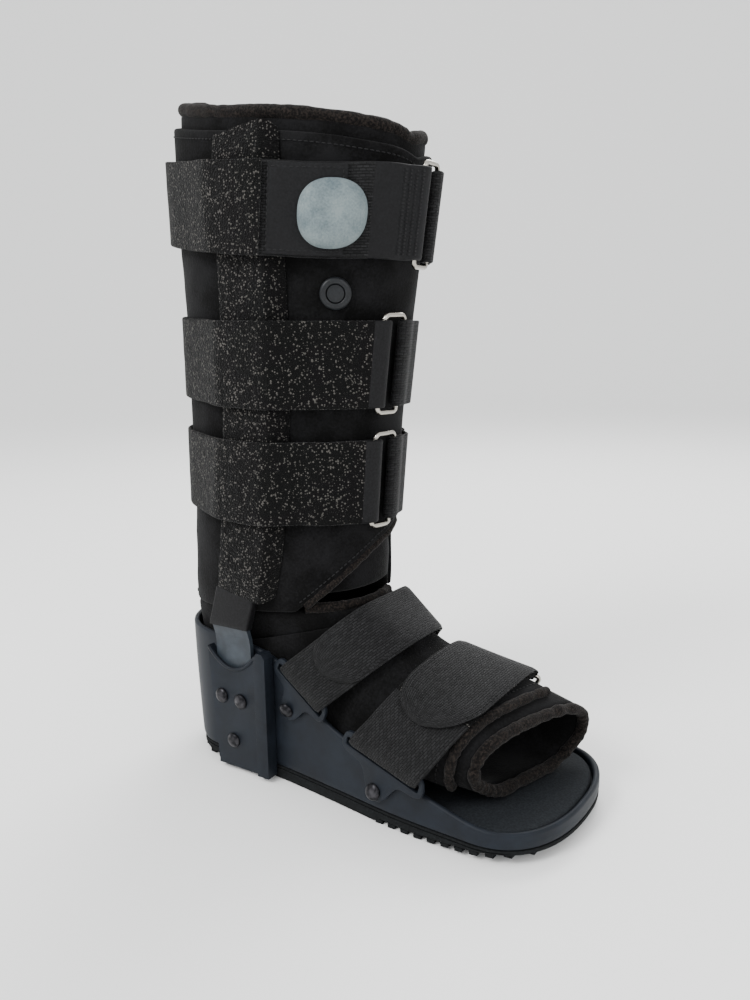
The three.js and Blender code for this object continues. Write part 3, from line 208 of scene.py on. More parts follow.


# %% [markdown]
# ## Loop pile
# The straps and the upright covers are faced with unbroken nylon loop, the soft side of a
# hook-and-loop fastener. Thousands of tiny black loops catch the light one by one, so it
# looks black with a fine sparkle, which is painted here: a few loops are painted brighter at
# their tops, as painted glints. The loops are 0.5 mm across, too fine for this picture, so
# they are drawn 1.1 mm across, as cells that give the bump.

# %% Loop pile


def new_material(name, colour, roughness, metallic=0.0, ior=1.5, sheen=0.0, gloss=0.5):
    """A named material with its constant values set on the shader itself.

    gloss is less than 0.5 on cloth, whose fibres shade one another's highlights."""
    made = bpy.data.materials.new(name)
    made.use_nodes = True
    shader = made.node_tree.nodes["Principled BSDF"]
    constants = {"Base Color": linear(colour), "Roughness": roughness, "Metallic": metallic, "IOR": ior,
                 "Sheen Weight": sheen, "Sheen Roughness": 0.4, "Specular IOR Level": gloss}
    for label, value in constants.items():
        shader.inputs[label].default_value = value
    return made, made.node_tree, shader


def surfaced(tree, shader, tone, colours, relief=None):
    """Gives a shader its colour and its relief, each from a value that varies over the surface.

    colours: two hex colours and where on the tone each lies. relief: height, strength, mm."""
    low, high, start, end = colours
    ramp = add_node(tree, "ShaderNodeValToRGB", Fac=tone)
    for element, spot, colour in zip(ramp.color_ramp.elements, (start, end), (low, high)):
        element.position, element.color = spot, linear(colour)
    tree.links.new(ramp.outputs["Color"], shader.inputs["Base Color"])
    if relief:
        height, strength, depth = relief
        bump = add_node(tree, "ShaderNodeBump", Height=height, Strength=strength, Distance=depth * MM)
        tree.links.new(bump.outputs["Normal"], shader.inputs["Normal"])


LOOP, SUM = 1.1, {"operation": "MULTIPLY_ADD"}
loop_pile, tree, shader = new_material("nylon loop pile, black", "#060607", 0.95, sheen=0.06, gloss=0.12)
place = add_node(tree, "ShaderNodeTexCoord").outputs["Object"]
loops = add_node(tree, "ShaderNodeTexVoronoi", Vector=place, Scale=1000 / LOOP, Randomness=1.0)
clumps = add_node(tree, "ShaderNodeTexNoise", Vector=place, Scale=1000 / (LOOP * 4),
                  Detail=2.0).outputs["Fac"]
chance = add_node(tree, "ShaderNodeSeparateColor", Color=loops.outputs["Color"])
# Loops picked at random, more of them in clumps, get painted glints: their colour is brightest at their tops,
# a painted highlight.
glint_chance = add_node(tree, "ShaderNodeMath", SUM, i0=clumps, i1=0.8, i2=chance.outputs["Red"])
painted_glints = add_node(tree, "ShaderNodeMath", SUM, i0=loops.outputs["Distance"], i1=-0.8, i2=glint_chance.outputs[0])
height = add_node(tree, "ShaderNodeMath", SUM, i0=loops.outputs["Distance"], i1=-0.8, i2=clumps)
# The pale end of the ramp, #464441, is the painted glint colour; the rest is the pile's own black.
surfaced(tree, shader, painted_glints.outputs[0], ("#070707", "#464441", 0.88, 1.25), (height.outputs[0], 0.9, 1.0))
print("loops", LOOP, "mm")

# %% [markdown]
# ## Woven webbing, stitching thread and coated cloth
# Near the rings the straps show their base, a black woven tape. Its yarns lie 1.5 mm apart,
# each row shifted by half a yarn, which a brick pattern on the cloth's own UV map gives.
# Yarns are rounded, so the brick edges are only the low lines of the bump. The coated cloth
# of the smooth panel needs one grain only, and so do several finishes after it.

# %% Woven webbing
YARN = 1.5
webbing, tree, shader = new_material("woven nylon tape, black", "#0c0c0d", 0.7, sheen=0.03, gloss=0.15)
cloth_uv = add_node(tree, "ShaderNodeUVMap", {"uv_map": "cloth"}).outputs["UV"]
weave = add_node(tree, "ShaderNodeTexBrick", {"offset": 0.5}, Vector=cloth_uv, Scale=1.0,
                 Brick_Width=2.2 * YARN * MM, Row_Height=YARN * MM, Mortar_Size=0.22 * YARN * MM,
                 Mortar_Smooth=1.0, Mortar=linear("#020202"),
                 Color1=linear("#1d1d1e"), Color2=linear("#0d0d0e"))
tree.links.new(weave.outputs["Color"], shader.inputs["Base Color"])
low_lines = add_node(tree, "ShaderNodeMath", {"operation": "SUBTRACT"}, i0=1.0, i1=weave.outputs["Fac"])
bump = add_node(tree, "ShaderNodeBump", Height=low_lines.outputs[0], Strength=1.0, Distance=0.7 * MM)
tree.links.new(bump.outputs["Normal"], shader.inputs["Normal"])
thread, _, _ = new_material("bonded polyester thread, black", "#131314", 0.6, gloss=0.2)
print("yarn pitch", YARN, "mm")

# %% Finishes with one grain


def grained(name, colour, roughness, grain, colours, relief=None, patches=None, **more):
    """A finish whose one fine grain gives both its colour and its relief.

    grain: the noise's size in mm, detail and roughness. relief: strength and mm.
    patches: the size in mm of larger patches of tone, and the grain's strength beside them."""
    made, tree, shader = new_material(name, colour, roughness, **more)
    place = add_node(tree, "ShaderNodeTexCoord").outputs["Object"]
    size, detail, rough = grain
    fine = tone = add_node(tree, "ShaderNodeTexNoise", Vector=place, Scale=1000 / size, Detail=detail,
                           Roughness=rough).outputs["Fac"]
    if patches:
        large = add_node(tree, "ShaderNodeTexNoise", Vector=place, Scale=1000 / patches[0], Detail=2.0)
        tone = add_node(tree, "ShaderNodeMath", SUM, i0=fine, i1=patches[1],
                        i2=large.outputs["Fac"]).outputs[0]
    surfaced(tree, shader, tone, colours, relief and (fine, *relief))
    return made


smooth_cloth = grained("coated polyester cloth, black", "#0a0a0b", 0.6, (1.2, 2.0, 0.5),
                       ("#070708", "#121214", 0.35, 0.7), (0.35, 0.3), gloss=0.15)
print("coated cloth made")

# %% [markdown]
# ## Liner foam and its edge tape
# The liner is foam with brushed knit on both faces: very matt, with soft pills and lint.
# Its edges are bound in a brushed tape that has gone brownish grey with wear. The bulb's
# cloth is grey, with patches that have worn paler.

# %% Brushed knit, edge tape and bulb cloth
knit = grained("brushed knit over foam, black", "#060606", 0.97, (1.6, 4.0, 0.65),
               ("#050505", "#131314", 0.72, 1.05), (0.6, 0.6), (26, 0.7), sheen=0.04, gloss=0.1)
edge_tape = grained("brushed nylon tape, brown black", "#15120f", 0.95, (1.3, 5.0, 0.7),
                    ("#080707", "#2f2925", 0.45, 0.72), (0.9, 0.9), sheen=0.05, gloss=0.1)
bulb_cloth = grained("polyester cloth over rubber, grey", "#5f6b6d", 0.85, (1.1, 3.0, 0.5),
                     ("#4a565b", "#6f7a7b", 0.55, 1.05), (0.35, 0.3), (14, 0.6), sheen=0.05, gloss=0.2)
print("knit, edge tape and bulb cloth made")

# %% [markdown]
# ## Moulded plastic, rubber and foam sheet
# The base is injection moulded polypropylene, dark blue grey, with the fine spark-eroded
# grain that hides scratches. The sole is moulded rubber, duller and a little warmer. The
# insole is closed-cell EVA foam, whose cut cells show as tiny pits.

# %% Plastic, rubber and EVA
base_plastic, tree, shader = new_material("moulded polypropylene, blue grey", "#15191f", 0.5,
                                          ior=1.49, gloss=0.14)
place = add_node(tree, "ShaderNodeTexCoord").outputs["Object"]
grain = add_node(tree, "ShaderNodeTexNoise", Vector=place, Scale=1000 / 0.9, Detail=2.0).outputs["Fac"]
scuffs = add_node(tree, "ShaderNodeTexNoise", Vector=place, Scale=1000 / 22, Detail=6.0,
                  Roughness=0.7).outputs["Fac"]
surfaced(tree, shader, scuffs, ("#111419", "#1a1f26", 0.35, 0.7), (grain, 0.25, 0.12))
dulled = add_node(tree, "ShaderNodeMapRange", Value=scuffs, To_Min=0.42, To_Max=0.6)
tree.links.new(dulled.outputs["Result"], shader.inputs["Roughness"])

valve_nylon = grained("moulded nylon, black", "#0e1013", 0.42, (1.0, 2.0, 0.5),
                      ("#0b0c0e", "#15181b", 0.3, 0.7), (0.25, 0.15), ior=1.53, gloss=0.22)
sole_rubber = grained("moulded rubber, black", "#0b0c0d", 0.85, (1.4, 4.0, 0.5),
                      ("#0a0b0c", "#17191a", 0.35, 0.7), (0.4, 0.3), ior=1.52, gloss=0.12)

eva_foam, tree, shader = new_material("EVA foam sheet, dark grey", "#15171a", 0.85, ior=1.45, gloss=0.15)
place = add_node(tree, "ShaderNodeTexCoord").outputs["Object"]
cells = add_node(tree, "ShaderNodeTexVoronoi", Vector=place, Scale=1000 / 1.3).outputs["Distance"]
# The cells' pits are painted darker than the foam round them: painted shade in the pits, besides their bump.
surfaced(tree, shader, cells, ("#111316", "#1e2124", 0.1, 0.8), (cells, 0.35, 0.3))
print("hard materials made")

# %% [markdown]
# ## Metals
# The strap rings are steel wire with bright nickel plate, and the rivets are darkened
# steel. Both are true metals: their colour is in the reflection. The uprights are flat
# aluminium bar with a dark blue grey paint.

# %% Metals and paint
nickel, tree, shader = new_material("nickel plated steel", "#a5a199", 0.22, metallic=1.0)
place = add_node(tree, "ShaderNodeTexCoord").outputs["Object"]
tarnish = add_node(tree, "ShaderNodeTexNoise", Vector=place, Scale=1000 / 5, Detail=4.0)
dulled = add_node(tree, "ShaderNodeMapRange", Value=tarnish.outputs["Fac"], To_Min=0.14, To_Max=0.36)
tree.links.new(dulled.outputs["Result"], shader.inputs["Roughness"])
rivet_steel = grained("blackened steel rivet", "#2c2c2e", 0.42, (4, 4.0, 0.5),
                      ("#1c1c1e", "#48474a", 0.4, 0.7), metallic=1.0)
bar_paint = grained("painted aluminium bar, blue grey", "#272d34", 0.5, (8, 5.0, 0.5),
                    ("#20262c", "#30373e", 0.35, 0.7), gloss=0.3)
print("metals made")

# %% [markdown]
# ## The forms that everything lies on
# The liner, the straps and the covers all follow two forms: a leg, whose section is a
# rounded oval that changes with height, and a foot, whose section turns from level at the
# ankle to upright at the toes. The sizes and tables below are those of the CAD source, so a
# piece made from them lies where its solid does.

# %% Curves through the tables


def curve_of(keys, values):
    """The cubic through a table that the CAD source uses, for arrays."""
    k, v = np.asarray(keys, float), np.asarray(values, float)

    def at(t):
        t = np.clip(np.asarray(t, float), k[0], k[-1])
        i = np.clip(np.searchsorted(k, t, side="right"), 1, len(k) - 1)
        t0, t1 = k[i - 1], k[i]
        first, last = i == 1, i == len(k) - 1
        before = np.where(first, t1, k[np.maximum(i - 2, 0)])
        after = np.where(last, t0, k[np.minimum(i + 1, len(k) - 1)])
        v_before = np.where(first, v[i], v[np.maximum(i - 2, 0)])
        v_after = np.where(last, v[i - 1], v[np.minimum(i + 1, len(k) - 1)])
        wp, wn = (t1 - t0) / 2 / (t0 - before), (t1 - t0) / 2 / (after - t1)
        p = (t - t0) / (t1 - t0)
        return ((-wp * p**3 + 2 * wp * p**2 - wp * p) * v_before
                + ((1 + wp) * p**3 - (1.5 + 2 * wp) * p**2 + (wp - 0.5) * p + 1) * v[i - 1]
                + ((-1 - wn) * p**3 + (1.5 + wn) * p**2 + 0.5 * p) * v[i]
                + (wn * p**3 - wn * p**2) * v_after)
    return at


def superellipse(angle, power):
    """Cosine and sine, bent so that the section is squarer than an ellipse."""
    c, s = np.cos(np.radians(angle)), np.sin(np.radians(angle))
    return np.sign(c) * np.abs(c) ** (2 / power), np.sign(s) * np.abs(s) ** (2 / power)


GAP, SOFT_GAP = 0.3, 0.6

# %% The leg form
RIM_HEIGHT, RIM_DIP, LEG_BACK, CALF_DEPTH, CALF_WIDTH, LEG_ROUND = 430, 38, -133, 85, 57, 2.3
LEG_UP = [0.222, 0.278, 0.398, 0.537, 0.694, 0.815, 0.926, 1]
leg_depth_share = curve_of(LEG_UP, [0.832, 0.836, 0.827, 0.85, 0.9, 0.97, 1, 1.01])
leg_width_share = curve_of(LEG_UP, [0.86, 0.88, 0.9, 0.93, 0.965, 0.985, 1, 1])
leg_back_share = curve_of(LEG_UP, [0.031, 0.022, -0.002, -0.016, -0.02, 0, 0, 0])


def leg_depth(z):
    return CALF_DEPTH * leg_depth_share(np.asarray(z) / RIM_HEIGHT)


def leg_width(z):
    return CALF_WIDTH * leg_width_share(np.asarray(z) / RIM_HEIGHT)


def leg_middle(z):
    return LEG_BACK * (1 + leg_back_share(np.asarray(z) / RIM_HEIGHT)) + leg_depth(z)


def leg_point(angle, z, inset=0.0):
    """A point on the leg: angle 0 is the shin, -90 the pump side."""
    angle, z, inset = np.broadcast_arrays(np.asarray(angle, float), z, inset)
    c, s = superellipse(angle, LEG_ROUND)
    return np.stack([leg_middle(z) + (leg_depth(z) - inset) * c, (leg_width(z) - inset) * s, z], -1)


print("leg at the rim, mm:", leg_point([0, -90, 180], RIM_HEIGHT).round(1).tolist())

# %% The foot form
FOOT_FLOOR, SEAM_BACK, SEAM_FRONT, INSTEP_X, FOOT_TOE = 17.9, 104, 116, 8, 110
FOOT_HALF_WIDTH, FOOT_ROUND, HEEL_X, TOE_SLANT = 53, 2.5, LEG_BACK * 1.03, 14
FOOT_AT = list(range(10))
foot_top_x = curve_of(FOOT_AT, [1, 1.9, 2.75, 3.6, 4.5, 5.75, 7.5, 9.6, 11.9, 14])
foot_top_up = curve_of(FOOT_AT, [1, 0.95, 0.9, 0.845, 0.79, 0.73, 0.68, 0.63, 0.565, 0.5])
foot_low_x = curve_of(FOOT_AT, [1, 1, 0.956, 0.832, 0.613, 0.336, 0.015, -0.307, -0.569, -0.759])
foot_low_up = curve_of(FOOT_AT, [1, 0.59, 0.2, 0, 0, 0, 0, 0, 0, 0])
foot_width = curve_of(FOOT_AT, [0.925, 0.79, 0.775, 0.775, 0.79, 0.835, 0.895, 0.955, 1, 0.985])


def foot_point(at, angle, inset=0.0):
    """A point on the foot: at runs from the ankle, 0, to the toes, 9; angle 180 is the sole."""
    at, angle, inset = np.broadcast_arrays(np.asarray(at, float), angle, inset)
    forward = (FOOT_TOE - INSTEP_X) / 13
    top = np.stack([INSTEP_X + forward * (foot_top_x(at) - 1),
                    FOOT_FLOOR + (SEAM_FRONT - FOOT_FLOOR) * foot_top_up(at)], -1)
    low = np.stack([HEEL_X * foot_low_x(at),
                    FOOT_FLOOR + (SEAM_BACK - FOOT_FLOOR) * foot_low_up(at)], -1)
    half = (top - low) / 2
    reach = np.linalg.norm(half, axis=-1)
    c, s = superellipse(angle, FOOT_ROUND)
    flat = (top + low) / 2 + half * (c * (reach - inset) / reach)[..., None]
    x = flat[..., 0] + TOE_SLANT * s * smoothstep(at, 4.5, 9)
    return np.stack([x, (FOOT_HALF_WIDTH * foot_width(at) - inset) * s,
                     np.maximum(flat[..., 1], FOOT_FLOOR + inset)], -1)


print("foot at the toes, mm:", foot_point(9, [0, -90, 180]).round(1).tolist())

# %% [markdown]
# ## The padded tube round the leg
# The inner layer of the liner is thick foam. It shows at the rim, inside the tube and over
# the instep. It is one wall carried round the leg, rounded over at its rim, with soft
# random swells so that it looks stuffed and not machined.

# %% Liner edges and the leg pad
LAP_ANGLE, HOLE_ANGLE, HOLE_FAR, HOLE_RISE, FLAP_RISE = 38, 62, 30, 9, 50
LEG_LAYER, LEG_PAD, BINDING, LAYER_STEP = 3.5, 7.0, 2.4, 9
PAD_INSET = LEG_LAYER + SOFT_GAP


def seam_at(x):
    return SEAM_BACK + (SEAM_FRONT - SEAM_BACK) * np.clip((x - HEEL_X) / (INSTEP_X - HEEL_X), 0, 1)


def unwound(angle):
    """An angle between -180 and 180 degrees."""
    return np.where(np.asarray(angle, float) < -180, np.asarray(angle, float) + 360, angle)


rim_share = curve_of([0, 0.05, 0.2, 0.5, 0.8, 1], [1, 0.93, 0.84, 0.57, 0.22, 0])


def pad_top(angle):
    """The rim: lowest at the shin, highest at the back."""
    return RIM_HEIGHT - 2 * BINDING - 1.5 * SOFT_GAP - RIM_DIP * rim_share(np.abs(unwound(angle)) / 180)


def pad_bottom(angle):
    """Lower edge of the inner layer: the ankle seam, raised over the instep hole."""
    a = unwound(angle)
    hole = HOLE_RISE * (1 - smoothstep(np.where(a < 0, -a / HOLE_ANGLE, a / HOLE_FAR), 0.75, 1))
    return seam_at(leg_point(a, SEAM_BACK)[..., 0]) + 1.5 * SOFT_GAP + hole


def layer_bottom(angle):
    """Lower edge of the outer layer: the near flap climbs past the instep, the far side not."""
    a = unwound(angle)
    seam = seam_at(leg_point(a, SEAM_BACK)[..., 0]) + SOFT_GAP
    share = np.clip((a + HOLE_ANGLE) / (LAP_ANGLE + HOLE_ANGLE), 0, 1)
    return seam + np.where((a > LAP_ANGLE) | (a < -HOLE_ANGLE), 0, FLAP_RISE * (1 - (1 - share) ** 1.7))


def wall_section(low, high, outer, thick, rows, nose):
    """Heights and insets round a wall's section, rounded over at both edges."""
    turn = np.linspace(0, np.pi, 7)
    mid, half = outer + thick / 2, thick / 2
    up = np.linspace(low + nose, high - nose, rows)
    z = np.concatenate([up, high - nose + nose * np.sin(turn[1:-1]), up[::-1],
                        low + nose - nose * np.sin(turn[1:-1])])
    inset = np.concatenate([np.full(rows, outer), mid - half * np.cos(turn[1:-1]),
                            np.full(rows, outer + thick), mid + half * np.cos(turn[1:-1])])
    return z, inset


def leg_wall(name, turns, bottom, top, outer, thick, rows, closed, swell, nose):
    """A wall carried round the leg, with soft random swells."""
    rings = []
    for angle in turns:
        z, inset = wall_section(float(bottom(angle)), float(top(angle)), outer, thick, rows, nose)
        p = leg_point(angle, z, inset)
        p = leg_point(angle, z, inset + np.abs(wobble(p, 34, swell, 3.0)))
        rings.append(p)
    return loft(name, rings, closed, sharp=70)


turns = np.linspace(LAP_ANGLE, LAP_ANGLE - 360, 145)[:-1]
leg_pad = leg_wall("leg_pad_soft", turns, pad_bottom, pad_top, PAD_INSET, LEG_PAD, 56, True, 1.6, 3.0)
finished(leg_pad, knit, "padding", "leg_pad", fill=0.7)

# %% [markdown]
# ## The outer layer of the leg
# A single sheet of foam cloth goes round the leg from the near flap's edge, round the back,
# and ends under that flap. Its lower front edge is cut off slanting over the instep.

# %% Leg layer
turns = np.linspace(LAP_ANGLE, LAP_ANGLE - 356, 180)
leg_layer = leg_wall("leg_layer_soft", turns, layer_bottom, lambda a: pad_top(a) - LAYER_STEP,
                     0.0, LEG_LAYER, 60, False, 1.0, 1.7)
finished(leg_layer, knit, "knit", "leg_layer", fill=0.5)

# %% [markdown]
# ## Foot liner
# The foot sleeve is a padded tube too, from the ankle seam down to the toes, where it is
# open. The near flap wraps over it from low on the near side to past the instep.

# %% Foot pad and foot flap
FOOT_PAD, FOOT_FLAP, FLAP_START, FOOT_LAP, FLAP_END = 6, 3.2, -120, 24, 8.4


def pad_room(angle):
    """How far in the foot liner lies, to leave room for the flap over it."""
    return (FOOT_FLAP + SOFT_GAP) * (1 - smoothstep(np.abs(angle), -FLAP_START, 165))


def foot_wall(name, angles, start, end, outer, thick, stations, closed, swell, nose):
    """A wall carried along the foot, with a section rounded at its two ends."""
    rings = []
    for angle in angles:
        at, inset = wall_section(start, end, float(outer(angle)), thick, stations, nose)
        p = foot_point(at, angle, inset)
        rings.append(foot_point(at, angle, inset + np.abs(wobble(p, 30, swell, 8.0))))
    return loft(name, rings, closed, sharp=70)


foot_pad = foot_wall("foot_pad_soft", np.linspace(-180, 180, 121)[:-1], 0.0, 9.0, pad_room,
                     FOOT_PAD, 60, True, 1.3, 0.22)
finished(foot_pad, knit, "padding", "foot_pad", fill=0.7)
foot_flap = foot_wall("foot_flap_soft", np.linspace(FLAP_START, FOOT_LAP, 64), 1.0, FLAP_END,
                      lambda a: 0.0, FOOT_FLAP, 56, False, 0.8, 0.12)
finished(foot_flap, knit, "knit", "foot_flap", fill=0.5)

# %% [markdown]
# ## Bound edges
# The cut edges of the foam are wrapped in a rolled tape, which is wider than the edge and
# grips it from both sides. A rod of oval section follows each edge a little way in, and its
# radius changes along the way, as hand-fed tape does.

# %% Bindings


def rod(name, points, radius, sides=14, closed=False, uneven=0.0, tall=1.0):
    """A rod along points, with no twist; uneven varies its radius, tall stretches it upwards."""
    p = np.asarray(points, float)
    run = (np.roll(p, -1, 0) - np.roll(p, 1, 0)) if closed else np.gradient(p, axis=0)
    run /= np.linalg.norm(run, axis=1)[:, None]
    side = np.cross(run, [0.13, 0.21, 1.0])
    side /= np.linalg.norm(side, axis=1)[:, None]
    up = np.cross(side, run)
    turn = np.linspace(0, 2 * np.pi, sides + 1)[:-1]
    r = radius - np.abs(wobble(p, 7, uneven, 1.5))
    rings = (p[:, None] + side[:, None] * (np.cos(turn) * r[:, None])[..., None]
             + up[:, None] * (np.sin(turn) * r[:, None] * tall)[..., None])
    return loft(name, rings, closed, sharp=60)


def toe_edge(at, angles, inset, radius, past):
    """The middle of a rolled tape, past the edge of a wall of the foot."""
    edge, behind = foot_point(at, angles, inset), foot_point(at - 0.2, angles, inset)
    out = edge - behind
    p = edge + out / np.linalg.norm(out, axis=1)[:, None] * past
    p[:, 2] = np.maximum(p[:, 2], FOOT_FLOOR + radius)
    return p


rim_turns = np.linspace(LAP_ANGLE, LAP_ANGLE - 360, 241)[:-1]
rim = leg_point(rim_turns, pad_top(rim_turns) + 1.2, PAD_INSET + LEG_PAD / 2)
slant_turns = np.linspace(-HOLE_ANGLE + 6, LAP_ANGLE, 90)
slant = leg_point(slant_turns, layer_bottom(slant_turns) - 1.3, LEG_LAYER / 2)
toe_turns = np.linspace(-180, 180, 161)[:-1]
toe = toe_edge(9.0, toe_turns, pad_room(toe_turns) + FOOT_PAD / 2, 3.9, 1.6)
flap_toe = toe_edge(FLAP_END, np.linspace(FLAP_START, FOOT_LAP, 100), FOOT_FLAP / 2, 3.0, 1.2)
hole_turns = np.linspace(-HOLE_ANGLE * 0.95, HOLE_FAR * 0.7, 60)
instep = foot_point(0.0, hole_turns, pad_room(hole_turns) + FOOT_PAD / 2) + [0, 0, 1.6]
for tape, node, line, radius, how in (
        ("rim_tape", "rim_binding", rim, 4.7, dict(sides=18, closed=True, uneven=0.9, tall=0.93)),
        ("flap_tape", "flap_binding", slant, 2.8, dict(uneven=1.0)),
        ("toe_tape", "toe_binding", toe, 3.9, dict(closed=True, uneven=1.6)),
        ("toe_flap_tape", "toe_flap_binding", flap_toe, 3.2, dict(uneven=1.4)),
        ("instep_tape", "instep_binding", instep, 3.5, dict(uneven=1.2))):
    finished(rod(tape, line, radius, **how), edge_tape, "edge_binding", node)

# %% [markdown]
# ## Uprights and their covers
# A flat bar stands in a socket on each side and runs up the leg. Low down it wears a smooth
# sheath, and above that a wide strip of loop pile covers it, to which the straps stick. The
# strip is one sheet that rises over the bar, with its two ends cut slanting and its
# corners rounded.

# %% Where the bar runs
BAR_WIDTH, BAR_THICK, BAR_FOOT_X, BAR_TOP_X, SHEATH_BOTTOM, SHEATH_THICK = 29, 3, -76, -43, 99, 1.2
COVER_WIDTH, COVER_THICK, COVER_CROWN, COVER_BOTTOM, COVER_TOP = 47, 3.4, 0.9, 118, 393
COVER_LEAD, COVER_EASE = 4, COVER_BOTTOM + 0.3 * (COVER_TOP - COVER_BOTTOM)
SOCKET_Y = 45 * 1.045 + GAP


def bar_x(z):
    """Middle of the bar, which leans forward and straightens as it rises."""
    rise = np.clip((z - SHEATH_BOTTOM) / (RIM_HEIGHT - SHEATH_BOTTOM), 0, 1)
    return BAR_FOOT_X + (BAR_TOP_X - BAR_FOOT_X) * (1 - (1 - rise) ** 4)


def bar_y(z):
    """Inner face of the bar: upright in its socket, then out over the leg."""
    low = SOCKET_Y + GAP
    return low + (leg_width(z) + SHEATH_THICK + GAP + SOFT_GAP - low) * smoothstep(z, 87, SEAM_BACK)


def cover_x(z):
    return bar_x(z) + COVER_LEAD * (1 - smoothstep(z, COVER_BOTTOM, COVER_EASE))


def leg_side(x, z):
    """Half width of the leg at a given x."""
    across = np.clip(np.abs(x - leg_middle(z)) / leg_depth(z), 0, 1)
    return leg_width(z) * (1 - across**LEG_ROUND) ** (1 / LEG_ROUND)


def cover_roof(x, z):
    """Outer face of the cover: off the leg at its edges, over the bar in its middle."""
    share = np.abs(x - cover_x(z)) / (COVER_WIDTH / 2)
    over = bar_y(z) + BAR_THICK + GAP + COVER_THICK + COVER_CROWN * (1 - share**2)
    seat = leg_side(x, z) + SOFT_GAP + COVER_THICK
    return seat + (over - seat) * (1 - smoothstep(share, 0.72, 1.0))


# %% Covers
across = np.linspace(-1, 1, 25)
front = (across + 1) / 2
trim = 5 * np.maximum(np.abs(across) - 0.72, 0) ** 2 / 0.28**2
cover_low = COVER_BOTTOM + 9 * (1 - front) + trim
cover_high = COVER_TOP + 6 * (front - 0.5) - trim
for side, word in ((-1, "near"), (1, "far")):
    rings = []
    for share in np.linspace(0, 1, 140):
        edge = min(1.0, 0.35 + 12 * min(share, 1 - share))
        z = cover_low + (cover_high - cover_low) * share
        x = cover_x(z) + across * (COVER_WIDTH / 2 - 0.4)
        roof = cover_roof(x, z)
        soft = np.abs(wobble(np.stack([x, roof, z], -1), 9, 0.7, 5.0))
        thick = COVER_THICK * edge * np.clip(3.4 - 3.2 * np.abs(across), 0.2, 1)
        low = roof - COVER_THICK
        outer = np.stack([x, side * (low + thick - soft), z], -1)
        inner = np.stack([x, side * low, z], -1)[::-1]
        rings.append(np.concatenate([outer, inner]))
    cover = loft(f"upright_cover_{word}_pile", rings, sharp=70)
    finished(cover, loop_pile, "loop_pile", f"upright_cover_{word}")

# %% Sheaths and bars


def rounded_box(half_x, half_y, radius, per_corner=5):
    """Points round a rounded rectangle, counter-clockwise."""
    points = []
    for k, (sx, sy) in enumerate([(1, 1), (-1, 1), (-1, -1), (1, -1)]):
        for turn in np.radians(np.linspace(90 * k, 90 * k + 90, per_corner)):
            points.append((sx * (half_x - radius) + radius * math.cos(turn),
                           sy * (half_y - radius) + radius * math.sin(turn)))
    return np.array(points)


heights = np.linspace(SHEATH_BOTTOM, COVER_BOTTOM - GAP + 8, 24)
for side, word in ((-1, "near"), (1, "far")):
    rings = []
    for grow, run in ((GAP + SHEATH_THICK, heights), (GAP, heights[::-1])):
        flat = rounded_box(BAR_WIDTH / 2 + grow, BAR_THICK / 2 + grow, 1.4)
        for z in run:
            x, y = bar_x(z) + flat[:, 0], side * (bar_y(z) + BAR_THICK / 2) + flat[:, 1]
            rings.append(np.stack([x, y, np.full_like(x, z)], -1))
    finished(loft(f"sheath_{word}", rings, closed=True, sharp=60), smooth_cloth, "sheath_cloth",
             f"upright_sheath_{word}")
    bar = frame["nodes"][f"upright_{word}"]
    bar.data.materials.clear()
    bar.data.materials.append(bar_paint)

# %% [markdown]
# ## Taut straps
# A strap pulled tight touches only what stands proud, so in plan it follows the convex hull
# of the leg and its two covers. A track walks round that hull and gives a point for a
# distance along the strap and a distance out from the leg. Each strap has one track for its
# lower edge and one for its upper edge, and is straight between them. Every strap is level
# across the shin and rises a little towards the calf, the top one most.

# %% Tracks round the leg
STRAP_WIDTH, PILE_THICK, WEB_THICK, RING_WIRE, RING_WIDTH, RING_OVER = 50, 2.4, 1.6, 1.5, 15, 1.5
RING_OUT = SOFT_GAP + PILE_THICK + GAP + RING_WIRE
LEG_STRAPS = {  # height at the shin, rise at the back, place of the ring
    "strap_1": (346.15, 18.06, -5), "strap_2": (263.16, 6.02, 10), "strap_3": (194.58, 3.87, 9),
}
WEB_REACH, SEWN_LAP, BULB_AT, BULB_RADIUS, BULB_HEIGHT = 76, 22, 54, 19.5, 11


def hull_of(points):
    """The convex hull of flat points, counter-clockwise."""
    p = sorted(map(tuple, np.asarray(points).round(6)))

    def chain(some):
        made = []
        for q in some:
            while len(made) > 1 and ((made[-1][0] - made[-2][0]) * (q[1] - made[-2][1])
                                     - (made[-1][1] - made[-2][1]) * (q[0] - made[-2][0])) <= 0:
                made.pop()
            made.append(q)
        return made[:-1]
    return np.array(chain(p) + chain(p[::-1]))


